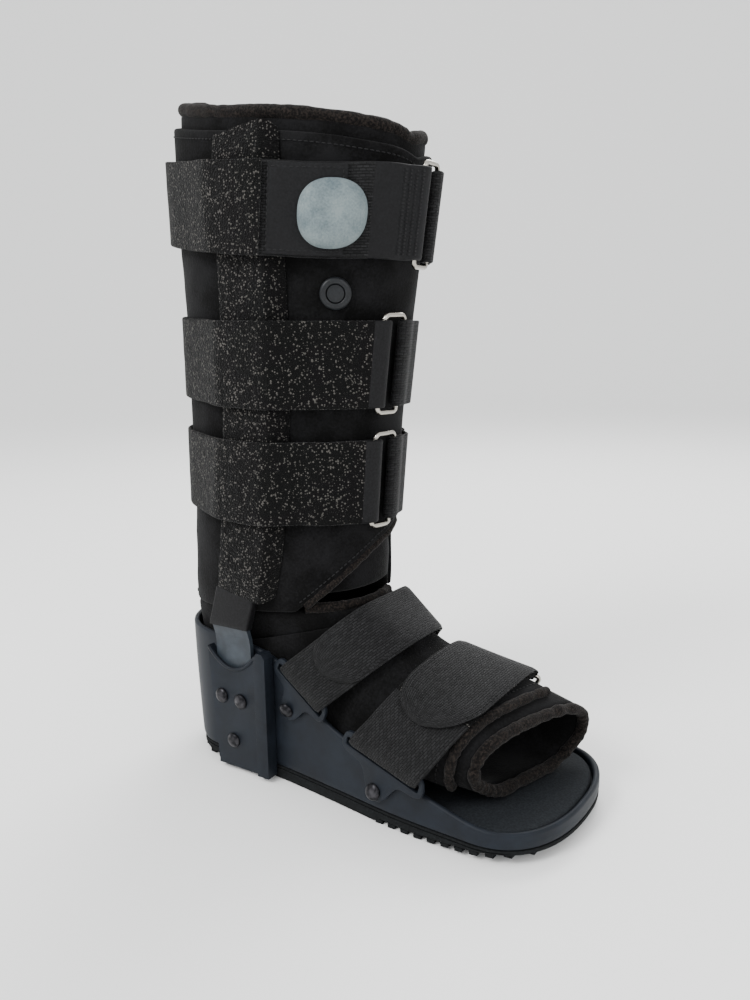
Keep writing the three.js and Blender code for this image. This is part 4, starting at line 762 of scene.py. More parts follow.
def track_of(points, count=480):
    """The hull of flat points as a function of (along, out), and how long it is."""
    hull = hull_of(points)
    middle = hull.mean(0)
    a, edge = hull - middle, np.roll(hull, -1, 0) - hull
    turn = -np.linspace(0, 2 * np.pi, count + 1)[:-1]
    ray = np.stack([np.cos(turn), np.sin(turn)], -1)
    cross = ray[:, None, 0] * edge[None, :, 1] - ray[:, None, 1] * edge[None, :, 0]
    cross = np.where(np.abs(cross) < 1e-9, 1e-9, cross)
    t = (a[None, :, 0] * edge[None, :, 1] - a[None, :, 1] * edge[None, :, 0]) / cross
    u = (a[None, :, 0] * ray[:, None, 1] - a[None, :, 1] * ray[:, None, 0]) / cross
    reach = np.where((t > 0) & (u > -1e-6) & (u < 1 + 1e-6), t, 0).max(1)
    path = ray * reach[:, None] + middle
    for _ in range(6):
        path = path * 0.5 + (np.roll(path, 1, 0) + np.roll(path, -1, 0)) * 0.25
    run = np.roll(path, -1, 0) - np.roll(path, 1, 0)
    normal = np.stack([-run[:, 1], run[:, 0]], -1) / np.linalg.norm(run, axis=1)[:, None]
    path, normal = np.vstack([path, path[:1]]), np.vstack([normal, normal[:1]])
    at = lengths(path)

    def put(along, out):
        s = np.mod(along, at[-1])
        p, n = between(s, at, path), between(s, at, normal)
        return p + n / np.linalg.norm(n, axis=-1)[..., None] * np.asarray(out)[..., None]
    return put, at[-1]


def strap_lift(name, x):
    """How far a strap has risen at x."""
    front = float(leg_middle(RIM_HEIGHT)) + CALF_DEPTH
    return LEG_STRAPS[name][1] * np.maximum(0, (front - np.asarray(x)) / (2 * CALF_DEPTH)) ** 2


def outline_at(name, z):
    """The leg and its covers in plan along a strap; z is the height at the shin."""
    turns = np.linspace(-180, 180, 181)[:-1]
    round_leg = leg_point(turns, z + strap_lift(name, leg_point(turns, z)[:, 0]))[:, :2]
    z = z + strap_lift(name, cover_x(z))
    covers = []
    for side in (-1, 1):
        x = cover_x(z) + COVER_WIDTH / 2 * np.array([-1, -1 + 12 / 47, 0, 1 - 12 / 47, 1])
        over = bar_y(z) + BAR_THICK + GAP + COVER_THICK
        y = np.array([0, over, over + COVER_CROWN, over, 0])
        y[[0, 4]] = leg_side(x[[0, 4]], z) + SOFT_GAP + COVER_THICK
        covers.append(np.stack([x, side * (y + 2 * SOFT_GAP)], -1))
    return np.vstack([round_leg, *covers])


leg_tracks = {}
for name, (middle, _, _) in LEG_STRAPS.items():
    low, mid, high = (outline_at(name, middle + way * STRAP_WIDTH / 2) for way in (-1, 0, 1))
    leg_tracks[name] = [track_of(np.vstack([edge, 2 * mid - other]))
                        for edge, other in ((low, high), (high, low))]
    print(name, "goes round, mm:", [round(whole) for _, whole in leg_tracks[name]])


def strap_round(name):
    """Length of a leg strap's middle line, once round."""
    return (leg_tracks[name][0][1] + leg_tracks[name][1][1]) / 2


def on_leg(name, along, out, z):
    """A point on a leg strap, out from the leg, at a height."""
    along, out, z = np.broadcast_arrays(np.asarray(along, float), out, z)
    middle = LEG_STRAPS[name][0]
    ends = [put(along * whole / strap_round(name), out) for put, whole in leg_tracks[name]]
    share = ((z - middle) / STRAP_WIDTH + 0.5)[..., None]
    flat = ends[0] * (1 - share) + ends[1] * share
    return np.concatenate([flat, (z + strap_lift(name, flat[..., 0]))[..., None]], -1)


# %% A band along its path


def eased(start, end, count=10):
    """Stations (along, out) from one to another, smooth at both ends."""
    return [(start[0] + (end[0] - start[0]) * t, start[1] + (end[1] - start[1]) * float(smoothstep(t, 0, 1)))
            for t in np.linspace(0, 1, count)]


BAND_POINTS = 22


def band(name, strap, stations, thick, wave=0.35, inset=0.0):
    """A strap with rounded edges through stations along its middle line."""
    s = np.array(stations, float)
    s = s[np.concatenate([[True], np.linalg.norm(np.diff(s, axis=0), axis=1) > 0.05])]
    run = np.gradient(s, axis=0)
    run /= np.linalg.norm(run, axis=1)[:, None]
    half, r = STRAP_WIDTH / 2 - inset, thick / 2
    turn = np.linspace(0, np.pi, 6)[1:-1]
    flat = np.linspace(-half + r, half - r, BAND_POINTS)
    h = np.concatenate([flat, half - r + r * np.sin(turn), flat[::-1], -half + r - r * np.sin(turn)])
    face = np.concatenate([np.ones(BAND_POINTS), np.cos(turn), -np.ones(BAND_POINTS), -np.cos(turn)]) * r
    middle = LEG_STRAPS[strap][0]
    rings = []
    for (a, o), (da, do) in zip(s, run):
        lift = wave * noise.noise(Vector((a / 16, middle, 0.3)))
        z = middle + h + lift * (np.abs(h) / half)
        puff = np.abs(wobble(np.stack([np.full_like(h, a), h, np.full_like(h, middle)], -1), 18, wave))
        rings.append(on_leg(strap, a - do * face, o + da * face + puff * (face > 0), z))
    return loft(name, rings, sharp=60)


def round_post(post, turn, thick, returned):
    """The path from a hidden return layer, round a ring's post, to the outer layer and down."""
    radius = RING_WIRE + GAP + thick / 2
    inner = RING_OUT - radius
    outer, seat = inner + thick + GAP, SOFT_GAP + thick / 2
    bend = [(post - turn * radius * math.cos(a), RING_OUT + radius * math.sin(a))
            for a in np.linspace(-np.pi / 2, np.pi / 2, 14)]
    return [*eased((post + turn * returned, inner), (post + turn * 1.5, inner), 8), *bend,
            *eased((post + turn * 1.5, RING_OUT + radius), (post + turn * 13, outer)),
            *eased((post + turn * 14, outer), (post + turn * (returned + 4), outer), 8),
            *eased((post + turn * (returned + 5), outer), (post + turn * (returned + 18), seat))]


def set_faces(made, size, parts):
    """Gives faces their materials by ring: parts are (first ring, material)."""
    for _, material in parts:
        if material.name not in made.data.materials:
            made.data.materials.append(material)
    for face in made.data.polygons:
        for first, material in parts:
            if face.index // size >= first:
                face.material_index = made.data.materials.find(material.name)


# %% The three leg straps
SECTION = 2 * BAND_POINTS + 2 * 4
for name, (middle, _, ring_at) in LEG_STRAPS.items():
    sewn = strap_round(name) + ring_at - WEB_REACH
    seat = SOFT_GAP + PILE_THICK / 2
    lapped = seat + WEB_THICK + SOFT_GAP
    fold = round_post(ring_at + RING_WIDTH / 2, 1, PILE_THICK, 26)
    long_run = [(a, seat) for a in np.arange(fold[-1][0] + 3, sewn - 14, 2.6)]
    ending = [*eased((sewn - 14, seat), (sewn - 3, lapped)),
              *eased((sewn, lapped), (sewn + SEWN_LAP, lapped), 8)]
    loop = band(name + "_band_cloth", name, [*fold, *long_run, *ending], PILE_THICK)
    shown, steps_back = (webbing, 10) if name == "strap_1" else (loop_pile, 24)
    set_faces(loop, SECTION, [(0, smooth_cloth), (len(fold) - steps_back, shown)])
    finished(loop, loop_pile, "loop_pile", name + "_band")
    fold = round_post(ring_at - RING_WIDTH / 2, -1, WEB_THICK, 14)
    seat = SOFT_GAP + WEB_THICK / 2
    tail = [(a, seat) for a in np.linspace(fold[-1][0] - 2, ring_at - WEB_REACH, 24)]
    front = band(name + "_front_tape", name, [*fold, *tail], WEB_THICK, wave=0.15)
    finished(front, webbing, "webbing", name + "_web")

# %% [markdown]
# ## Wire rings
# Each ring is a rectangle of nickelled wire with rounded corners, 15 mm wide, and a little
# longer than the strap is wide. It lies on the strap's track, so it curves with the leg.

# %% Leg rings


def ring_line(strap_half_width, step=2.0):
    """The line of a ring's wire, with points added where it is straight, so that it can bend."""
    p = rounded_box(RING_WIDTH / 2, strap_half_width + RING_OVER + RING_WIRE, 3, 9)
    p = np.vstack([p, p[:1]])
    made = []
    for a, b in zip(p[:-1], p[1:]):
        n = max(1, int(np.linalg.norm(b - a) // step))
        made += [a + (b - a) * k / n for k in range(n)]
    return np.array(made)


for name, (middle, _, ring_at) in LEG_STRAPS.items():
    line = ring_line(STRAP_WIDTH / 2)
    wire = on_leg(name, ring_at + line[:, 0], RING_OUT, middle + line[:, 1])
    finished(rod(name + "_wire", wire, RING_WIRE, 12, closed=True), nickel, "steel", name + "_ring")

# %% [markdown]
# ## Layers on the top strap
# Round the back and up to the near side the top strap carries a wide layer of loop pile.
# Between it and the webbing there is a smooth coated panel, on which the pump bulb sits.

# %% Top strap layers
PANEL_START, PANEL_END = 46.5, BULB_AT + BULB_RADIUS + 17
seat = 2.5 * SOFT_GAP + PILE_THICK + WEB_THICK / 2
run = [(a, seat) for a in np.arange(PANEL_END + 1, strap_round("strap_1") - 106, 2.6)]
finished(band("strap_1_pile_layer", "strap_1", run, WEB_THICK), loop_pile, "loop_pile", "strap_1_pile")
run = [(a, seat - 0.7) for a in np.arange(PANEL_START, PANEL_END, 2.0)]
finished(band("strap_1_panel", "strap_1", run, 0.8, wave=0.2, inset=1.0), smooth_cloth, "loop_pile")

# %% [markdown]
# ## The moulded base
# The base is one moulding: a tall heel cup that runs down to a low rim round the toes. It
# is the foot's outline carried up a wall with a rounded lip, so it is made as rings of that
# outline, each at its own inset and height.

# %% Base outline
SOLE_HEEL, SOLE_TOE, HEEL_HALF_WIDTH, FORE_HALF_WIDTH, TOE_ROUND = 142, 143, 45, 62, 43
HEEL_CENTRE, TOE_START = HEEL_HALF_WIDTH - SOLE_HEEL, SOLE_TOE - TOE_ROUND
OUTSOLE_THICK, SHELL_WALL, FLOOR_TOP, WALL_LOW, WALL_HIGH, LIP_DOWN = 9, 3.6, 12.3, 19, 91, 1.8
base_share = curve_of([0, 0.25, 0.5, 0.75, 1], [HEEL_HALF_WIDTH / FORE_HALF_WIDTH, 0.75, 0.845, 0.955, 1])
wall_share = curve_of([0, 0.17, 0.34, 0.42, 0.49, 0.55, 0.76, 0.84, 0.9, 1],
                      [1, 0.97, 0.86, 0.66, 0.44, 0.35, 0.11, 0.03, 0, 0])


def base_half_width(x):
    """Half the base's width along its two sides."""
    return FORE_HALF_WIDTH * base_share((np.asarray(x, float) - HEEL_CENTRE) / (TOE_START - HEEL_CENTRE))


def wall_top(x):
    """Height of the base's rim: a tall cup at the heel, low round the toes."""
    share = (np.asarray(x, float) + SOLE_HEEL) / (SOLE_HEEL + SOLE_TOE)
    return WALL_LOW + (WALL_HIGH - WALL_LOW) * np.maximum(0, wall_share(share))


def heel_tuck(x, share):
    """How far the heel is drawn in towards the ground."""
    return 6 * share * smoothstep(HEEL_CENTRE - np.asarray(x, float), 0, HEEL_HALF_WIDTH)


def base_outline(inset, heel=28, side=46, toe=34):
    """The outline from the heel, round the far side to the toe, and back on the near side."""
    a = np.radians(np.linspace(180, 90, heel))
    reach = HEEL_HALF_WIDTH - inset
    back = np.stack([HEEL_CENTRE + reach * np.cos(a), reach * np.sin(a)], -1)
    x = np.linspace(HEEL_CENTRE, TOE_START, side)[1:-1]
    flank = np.stack([x, base_half_width(x) - inset], -1)
    a = np.radians(np.linspace(90, 0, toe))
    c, s = np.clip(np.cos(a), 0, 1) ** 0.84, np.clip(np.sin(a), 0, 1) ** 0.84
    front = np.stack([TOE_START + (TOE_ROUND - inset) * c, (FORE_HALF_WIDTH - inset) * s], -1)
    half = np.vstack([back, flank, front])
    return np.vstack([half, half[1:-1][::-1] * [1, -1]])


def base_ring(inset, height, tuck):
    """The outline at a height, which is a number or a function of x."""
    p = base_outline(inset)
    z = height(p[:, 0]) if callable(height) else np.full(len(p), float(height))
    return np.stack([p[:, 0] + heel_tuck(p[:, 0], tuck), p[:, 1], z], -1)


# %% Base shell
LOW = OUTSOLE_THICK + GAP
rings = [base_ring(inset, LOW + up, tuck)
         for inset, up, tuck in ((SHELL_WALL + 2, 0, 0.9), (1.6, 0, 0.9), (0.5, 0.5, 0.88), (0.1, 2, 0.82))]
for share in np.linspace(0, 1, 16):
    def height(x, share=share):
        return LOW + 4 + (wall_top(x) - LIP_DOWN - LOW - 4) * share
    rings.append(base_ring(0.0, height, 0.75 * (1 - share) ** 1.6))
lip = SHELL_WALL / 2
for turn in np.radians([25, 50, 75, 90, 105, 130, 155]):
    def height(x, turn=turn):
        return wall_top(x) - lip + lip * math.sin(turn)
    rings.append(base_ring(lip - lip * math.cos(turn), height, 0.0))
for share in np.linspace(1, 0, 10):
    def height(x, share=share):
        return FLOOR_TOP + 1.5 + (wall_top(x) - LIP_DOWN - FLOOR_TOP - 1.5) * share
    rings.append(base_ring(SHELL_WALL, height, 0.5 * (1 - share)))
rings += [base_ring(SHELL_WALL + 0.8, FLOOR_TOP + 0.2, 0.5), base_ring(SHELL_WALL + 3, FLOOR_TOP, 0.5)]
finished(loft("base_shell_moulding", rings, sharp=40), base_plastic, "shell_plastic", "base_shell")

# %% Insole
INSOLE_EDGE = [(1, 12.6), (0, 12.9), (0, 15.2), (0.3, 16.1), (0.9, 16.9), (1.8, 17.4), (3.2, 17.6),
               (30, 17.6)]  # inset and height, mm
rings = [base_ring(SHELL_WALL + 1.2 + inset, z, 0.5) for inset, z in INSOLE_EDGE]
finished(loft("insole_sheet", rings, sharp=60), eva_foam, "foam", "insole")

# %% [markdown]
# ## Outsole and tread
# The outsole is a rubber slab that springs up at the heel and the toe. Cross lugs stand on
# its front and back, and its middle is flat. The lugs repeat along the sole, so Geometry
# Nodes place them: one point for each, which says how wide its lug is.

# %% Outsole slab
LUG_DEPTH, LUG_PITCH, LUG_GROOVE = 2.4, 9, 3


def ground_at(x):
    """Height of the tread over flat ground: it springs up at the heel and the toe."""
    x = np.asarray(x, float)
    return smoothstep(x, SOLE_TOE * 0.4, SOLE_TOE) * 5 + smoothstep(-x, SOLE_HEEL * 0.7, SOLE_HEEL) * 4


def root_at(x):
    """Height of the slab's underside: raised by the lugs' depth except in the flat middle."""
    x = np.asarray(x, float)
    return ground_at(x) + LUG_DEPTH * np.maximum(smoothstep(x, 35.5, 36), smoothstep(-x, 49.5, 50))


rings = [base_ring(inset, lambda x, up=up: root_at(x) + up, 1.0)
         for inset, up in ((24, 0), (2.2, 0), (1.0, 0.3), (0.3, 1.0))]
rings += [base_ring(inset, z, 1.0) for inset, z in (
    (0.3, 6.8), (1.1, 7.0), (1.1, 7.6), (0.3, 7.8), (0.4, OUTSOLE_THICK - 0.2), (1.0, OUTSOLE_THICK))]
finished(loft("outsole_slab", rings, sharp=35), sole_rubber, "rubber", "outsole")

# %% Geometry Nodes for repeated pieces


def repeat_tree(name, shape):
    """A tree that puts a shape on every point, turned and scaled by the point's own values."""
    tree = bpy.data.node_groups.new(name, "GeometryNodeTree")
    for label, kind, way in (("Points", "Geometry", "INPUT"), ("Size", "Vector", "INPUT"),
                             ("Material", "Material", "INPUT"), ("Mesh", "Geometry", "OUTPUT")):
        tree.interface.new_socket(label, in_out=way, socket_type="NodeSocket" + kind)
    source = add_node(tree, "NodeGroupInput")
    body = add_node(tree, "GeometryNodeObjectInfo", Object=shape)
    turn, own = (add_node(tree, "GeometryNodeInputNamedAttribute", {"data_type": "FLOAT_VECTOR"}, Name=name)
                 for name in ("turn", "own_size"))
    size = add_node(tree, "ShaderNodeVectorMath", {"operation": "MULTIPLY"},
                    i0=source.outputs["Size"], i1=own.outputs["Attribute"])
    rotation = add_node(tree, "FunctionNodeEulerToRotation", Euler=turn.outputs["Attribute"])
    copies = add_node(tree, "GeometryNodeInstanceOnPoints", Points=source.outputs["Points"],
                      Instance=body.outputs["Geometry"], Rotation=rotation.outputs["Rotation"],
                      Scale=size.outputs["Vector"])
    solid = add_node(tree, "GeometryNodeRealizeInstances", Geometry=copies.outputs["Instances"])
    coat = add_node(tree, "GeometryNodeSetMaterial", Geometry=solid.outputs["Geometry"],
                    Material=source.outputs["Material"])
    end = add_node(tree, "NodeGroupOutput")
    tree.links.new(coat.outputs["Geometry"], end.inputs["Mesh"])
    return tree


def axes_turn(x_way, z_way):
    """The Euler turn that points a shape's X and Z the given ways."""
    x = Vector(x_way).normalized()
    z = Vector(z_way)
    z = (z - x * z.dot(x)).normalized()
    y = z.cross(x)
    return Matrix((x, y, z)).transposed().to_euler()


def repeated(name, tree, spots, size, material):
    """A plain mesh of copies; each spot is a point in mm, its X way, its Z way and its own size."""
    mesh = bpy.data.meshes.new(name + "_points")
    mesh.from_pydata([(Vector(p) * MM)[:] for p, _, _, _ in spots], [], [])
    for label, values in (("turn", [axes_turn(x, z)[:] for _, x, z, _ in spots]),
                          ("own_size", [tuple(own) for _, _, _, own in spots])):
        layer = mesh.attributes.new(label, "FLOAT_VECTOR", "POINT")
        layer.data.foreach_set("vector", np.array(values, float).ravel())
    holder = add_object(name + "_points", mesh)
    live = holder.modifiers.new("repeat", "NODES")
    live.node_group = tree
    sockets = {item.name: item.identifier for item in tree.interface.items_tree if item.in_out == "INPUT"}
    live[sockets["Size"]] = [v * MM for v in size]
    live[sockets["Material"]] = material
    graph = bpy.context.evaluated_depsgraph_get()
    copies = bpy.data.meshes.new_from_object(holder.evaluated_get(graph))
    holder.modifiers.remove(live)
    bpy.data.objects.remove(holder)
    shade(copies, 50)
    print(name, len(spots), "copies")
    return add_object(name, copies)


def hidden_shape(name, build):
    """A small mesh for the trees to copy, kept out of the scene."""
    mesh = bpy.data.meshes.new(name)
    shell = bmesh.new()
    build(shell)
    shell.to_mesh(mesh)
    shell.free()
    return bpy.data.objects.new(name, mesh)


# %% Tread lugs


def lug_shape(shell):
    bmesh.ops.create_cube(shell, size=1.0)
    bmesh.ops.bevel(shell, geom=shell.edges[:], offset=0.1, segments=2, affect="EDGES")


tread_tree = repeat_tree("Tread lugs", hidden_shape("lug", lug_shape))
spots = []
outline = base_outline(1.0)
for start, way, end in ((SOLE_TOE * 0.25, 1, SOLE_TOE - LUG_GROOVE),
                        (-SOLE_HEEL * 0.35, -1, -SOLE_HEEL + LUG_GROOVE)):
    for i in range(int(abs(end - start) // LUG_PITCH)):
        x = start + way * (i * LUG_PITCH + (LUG_PITCH - LUG_GROOVE) / 2)
        outer = x + way * (LUG_PITCH - LUG_GROOVE) / 2
        near = outline[np.abs(outline[:, 0] + heel_tuck(outline[:, 0], 1.0) - outer).argsort()[:4]]
        width = 2 * np.abs(near[:, 1]).max()
        slope = float(ground_at(x + 1) - ground_at(x - 1)) / 2
        foot = (x, 0, float(ground_at(x)) + LUG_DEPTH / 2 + 0.25)
        spots.append((foot, (1, 0, slope), (-slope, 0, 1), (1, width, 1)))
lugs = repeated("tread_lugs", tread_tree, spots, (LUG_PITCH - LUG_GROOVE, 1.0, LUG_DEPTH + 0.5), sole_rubber)
finished(lugs, sole_rubber, "rubber")

# %% [markdown]
# ## Hard pieces with softened edges
# The sockets have the right shape in the CAD, but moulded plastic never has a knife edge,
# and a sharp edge catches no light. A copy of each solid is welded, its flat faces are
# joined, and its edges are bevelled.

# %% Sockets


def softened(node, width, segments=3, angle=25):
    """A copy of a CAD node with bevelled edges; width in millimetres."""
    mesh = frame["nodes"][node].data.copy()
    mesh.name = node + "_soft"
    mesh.materials.clear()
    shell = bmesh.new()
    shell.from_mesh(mesh)
    bmesh.ops.remove_doubles(shell, verts=shell.verts, dist=2e-5)
    bmesh.ops.dissolve_limit(shell, angle_limit=math.radians(2), verts=shell.verts, edges=shell.edges)
    edges = [e for e in shell.edges if len(e.link_faces) == 2 and e.calc_face_angle(0) > math.radians(angle)]
    bmesh.ops.bevel(shell, geom=edges, offset=width * MM, segments=segments, profile=0.6,
                    affect="EDGES", clamp_overlap=True)
    bmesh.ops.recalc_face_normals(shell, faces=shell.faces)
    shell.to_mesh(mesh)
    shell.free()
    shade(mesh, 40)
    return add_object(node + "_rounded", mesh)


for word in ("near", "far"):
    finished(softened(f"socket_{word}", 1.0), base_plastic, "shell_plastic", f"socket_{word}")

# %% Rivet heads


def rivet_shape(shell):
    """A domed head 2 across and 1 high, its foot at the origin, its axis along Z."""
    rings = []
    for r, h in ((1, 0), (1, 0.22), (0.96, 0.42), (0.84, 0.66), (0.62, 0.86), (0.34, 0.97), (0.1, 1)):
        rings.append([shell.verts.new((r * math.cos(a), r * math.sin(a), h))
                      for a in np.linspace(0, 2 * np.pi, 25)[:-1]])
    for low, high in zip(rings, rings[1:]):
        for i in range(24):
            shell.faces.new((low[i], low[(i + 1) % 24], high[(i + 1) % 24], high[i]))
    shell.faces.new(rings[-1])
    shell.faces.new(rings[0][::-1])


rivet_tree = repeat_tree("Rivet heads", hidden_shape("rivet", rivet_shape))
RIVET_RADIUS, RIVET_HEIGHT = 4.9, 2.3


def seat_of(node):
    """The middle of a rivet's CAD box and its outward way."""
    low, high = (Vector(c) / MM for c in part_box(node))
    points = np.array([v.co[:] for v in frame["nodes"][node].data.vertices]) / MM
    out = np.abs(points[:, 1])
    tip = points[out > out.max() - 0.05].mean(0)
    way = tip - points.mean(0) if "bracket" in node else (0, math.copysign(1, low.y + high.y), 0)
    return (low + high) / 2, Vector(way).normalized()


heads = [f"socket_rivet_{word}_{i}" for word in ("near", "far") for i in (1, 2, 3)]
heads += [f"bracket_rivet_{strap}_{word}" for strap in ("strap_4", "strap_5") for word in ("near", "far")]
spots = []
for node in heads:
    middle, way = seat_of(node)
    spots.append((middle - way * 1.1, (1, 0, 0), way, (1, 1, 1)))
rivets = repeated("rivet_heads", rivet_tree, spots, (RIVET_RADIUS, RIVET_RADIUS, RIVET_HEIGHT), rivet_steel)
finished(rivets, rivet_steel, "steel", *heads)

# %% [markdown]
# ## Foot straps
# Each foot strap is one long piece: sewn to itself round the near bracket's slot, over the
# foot, round a ring on the far side, and back over itself to a rounded tab. Both of its
# edges lie in leaning planes, and each follows the hull of the foot in its plane.

# %% Arches over the foot
FOOT_STRAPS = {
    "strap_4": dict(along=0.13, above=1.9, tilt=32, lean=48, width=38, tab=0.11),
    "strap_5": dict(along=0.476, above=5.2, tilt=15, lean=34, width=50, tab=0.18),
}
SOCKET_FRONT = -46
BRACKET_THICK, BRACKET_RIM, SLOT_HEIGHT, FOOT_RING_AT = 2.6, 4, 5.5, 27
FOOT_SEAT, LAYER, LOOP_FLAT = 2.5 * SOFT_GAP + WEB_THICK / 2, WEB_THICK + GAP, 42
FOOT_RING_OUT = FOOT_SEAT + RING_WIRE + 2 * GAP + WEB_THICK / 2
for strap in FOOT_STRAPS.values():
    x = SOCKET_FRONT + (SOLE_TOE - SOCKET_FRONT) * strap["along"]
    strap["x"], strap["z"] = x, float(wall_top(x)) + strap["above"]
    strap["slope"] = (base_half_width(x + 20) - base_half_width(x - 20)) / 40
    strap["wall"] = base_half_width(x) + 2 * GAP + BRACKET_THICK / 2


def strap_axes(strap):
    """Ways along the slot, up the strap and across its plane, and its origin."""
    tilt, lean = math.radians(strap["tilt"]), math.radians(strap["lean"])
    return (np.array([math.cos(tilt), 0, -math.sin(tilt)]), np.array([math.sin(lean), 0, math.cos(lean)]),
            np.array([math.cos(lean), 0, -math.sin(lean)]), np.array([strap["x"], 0, strap["z"]]))


def slot_y(strap, shift):
    """How far out a bracket's slot lies, at a shift along it."""
    return strap["wall"] + shift * math.cos(math.radians(strap["tilt"])) * strap["slope"]


def foot_cut(strap, shift):
    """Where the strap's plane, shifted across, cuts the foot: (Y, height up the plane)."""
    across, up, normal, origin = strap_axes(strap)
    centre = origin + across * shift
    p = foot_point(np.linspace(0, 9, 120)[None, :], np.linspace(-180, 180, 241)[:, None])
    side = (p - centre) @ normal
    hit = (side[:, :-1] < 0) != (side[:, 1:] < 0)
    share = (side[:, :-1] / (side[:, :-1] - side[:, 1:] + 1e-12))[hit][:, None]
    q = p[:, :-1][hit] * (1 - share) + p[:, 1:][hit] * share - centre
    return np.stack([q[:, 1], q @ up], -1)


def arch_of(strap, shift, lift):
    """The hull over the foot from slot to slot as an even line, and how long it is."""
    slot = slot_y(strap, shift)
    over = foot_cut(strap, shift)
    over = over[over[:, 1] > 2] + [0, lift]
    hull = hull_of(np.vstack([over, [[-slot, 0], [slot, 0]]]))
    upper = hull[hull[:, 1] >= -1e-6]
    upper = upper[upper[:, 0].argsort()]
    at = lengths(upper)
    line = between(np.linspace(0, at[-1], 300), at, upper)
    for _ in range(30):
        line[1:-1] = line[1:-1] * 0.5 + (line[:-2] + line[2:]) * 0.25
    return line, at[-1]


arches = {}
for name, strap in FOOT_STRAPS.items():
    half = strap["width"] / 2
    tops = [foot_cut(strap, shift)[:, 1].max() for shift in (-half, 0, half)]
    lift = max(0.0, tops[1] - (tops[0] + tops[2]) / 2)
    arches[name] = [arch_of(strap, shift, lift) for shift in (-half, half)]
    print(name, "goes over the foot, mm:", [round(whole) for _, whole in arches[name]])


def arch_whole(name):
    """Length of a foot strap's middle line from slot to slot."""
    return (arches[name][0][1] + arches[name][1][1]) / 2


def on_arch(name, along, out, shift):
    """(Y, height) in the strap's plane at a shift across it."""
    width = FOOT_STRAPS[name]["width"]
    ends = []
    for line, _ in arches[name]:
        share = np.clip(np.asarray(along, float) / arch_whole(name), 0, 1) * (len(line) - 1)
        run = np.gradient(line, axis=0)
        run /= np.linalg.norm(run, axis=1)[:, None]
        p, t = (between(share, np.arange(len(line)), rows) for rows in (line, run))
        ends.append(p + np.stack([-t[..., 1], t[..., 0]], -1) * np.asarray(out, float)[..., None])
    share = (np.asarray(shift, float) / width + 0.5)[..., None]
    return ends[0] * (1 - share) + ends[1] * share


def in_frame(name, flat, shift):
    """Points in a strap's plane, put in the boot's frame."""
    across, up, _, origin = strap_axes(FOOT_STRAPS[name])
    p = origin + np.asarray(shift, float)[..., None] * across + flat[..., 1:2] * up
    p[..., 1] = flat[..., 0]
    return p


# %% [markdown]
# The brackets are stamped plates with well rounded ears round a slot, and a tongue down to
# the rivet. The outline and the slot are closed lines, filled and given a rolled edge.

# %% Brackets


def corners_rounded(corners, radius):
    """A closed line with its corners rounded."""
    line = []
    corners = [Vector(c) for c in corners]
    for before, here, after in zip(corners[-1:] + corners, corners, corners[1:] + corners[:1]):
        a, b = (here.lerp(far, min(0.45, radius / (far - here).length)) for far in (before, after))
        line += [(a.lerp(here, t)).lerp(here.lerp(b, t), t) for t in np.linspace(0, 1, 8)]
    return line


for name, strap in FOOT_STRAPS.items():
    half, high, rim, drop, foot = strap["width"] / 2 + 2, SLOT_HEIGHT / 2, BRACKET_RIM, 19, 3.9
    right_side = [(half + rim * 0.4, high + rim), (half + rim, -high), (half, -high - rim),
                  (half * 0.5, -high - rim - 1), (foot + 3.4, -drop - 1), (foot, -drop - 6)]
    outer = corners_rounded([(-x, z) for x, z in right_side][::-1] + right_side, 4.5)
    slot_line = corners_rounded([(-half, -high), (half, -high), (half, high), (-half, high)], 1.5)
    plan = bpy.data.curves.new(name + "_bracket", "CURVE")
    plan.dimensions, plan.fill_mode = "2D", "BOTH"
    plan.extrude, plan.bevel_depth, plan.offset, plan.bevel_resolution = 0.7, 0.6, -0.6, 2
    for closed in (outer, slot_line):
        spline = plan.splines.new("POLY")
        spline.points.add(len(closed) - 1)
        spline.points.foreach_set("co", [v for p in closed for v in (p.x, p.y, 0, 1)])
        spline.use_cyclic_u = True
    flat = bpy.data.meshes.new_from_object(bpy.data.objects.new("plan", plan))
    x, z, y = (np.array([v.co[k] for v in flat.vertices]) for k in range(3))
    tilt = math.radians(strap["tilt"])
    x, z = x * math.cos(tilt) + z * math.sin(tilt), z * math.cos(tilt) - x * math.sin(tilt)
    for side, word in ((-1, "near"), (1, "far")):
        lean = side * math.atan(strap["slope"])
        places = np.stack([strap["x"] + x * math.cos(lean) - y * math.sin(lean),
                           side * strap["wall"] + x * math.sin(lean) + y * math.cos(lean),
                           strap["z"] + z], -1)
        made = flat.copy()
        made.vertices.foreach_set("co", (places * MM).ravel())
        weld(made, 1e-5)
        shade(made, 50)
        plate = add_object(f"{name}_bracket_{word}", made)
        finished(plate, base_plastic, "bracket_plastic", f"bracket_{name}_{word}")

# %% Strips through the slots


def slot_way(name, side):
    """Stations from inside the slot, round its upper bar, to outside it."""
    strap = FOOT_STRAPS[name]
    reach = BRACKET_THICK / 2 + 2.5 * GAP + WEB_THICK / 2
    bar = SLOT_HEIGHT / 2 + BRACKET_RIM + 2
    spots = [(-1, bar), (-1, SLOT_HEIGHT / 2), (-0.6, 0.1), (0.6, 0.1), (1, SLOT_HEIGHT / 2), (1, bar)]

    def at(out, h):
        return lambda shift: np.stack([side * (slot_y(strap, shift) + out * reach),
                                       np.full_like(shift, h)], -1)
    return [(at(out, h), 1.0) for out, h in spots]


def outside(along):
    """How far out the returning layer lies, which climbs over the near loop at its tab."""
    return FOOT_SEAT + LAYER * (2 - float(smoothstep(along, LOOP_FLAT, LOOP_FLAT + 20)))


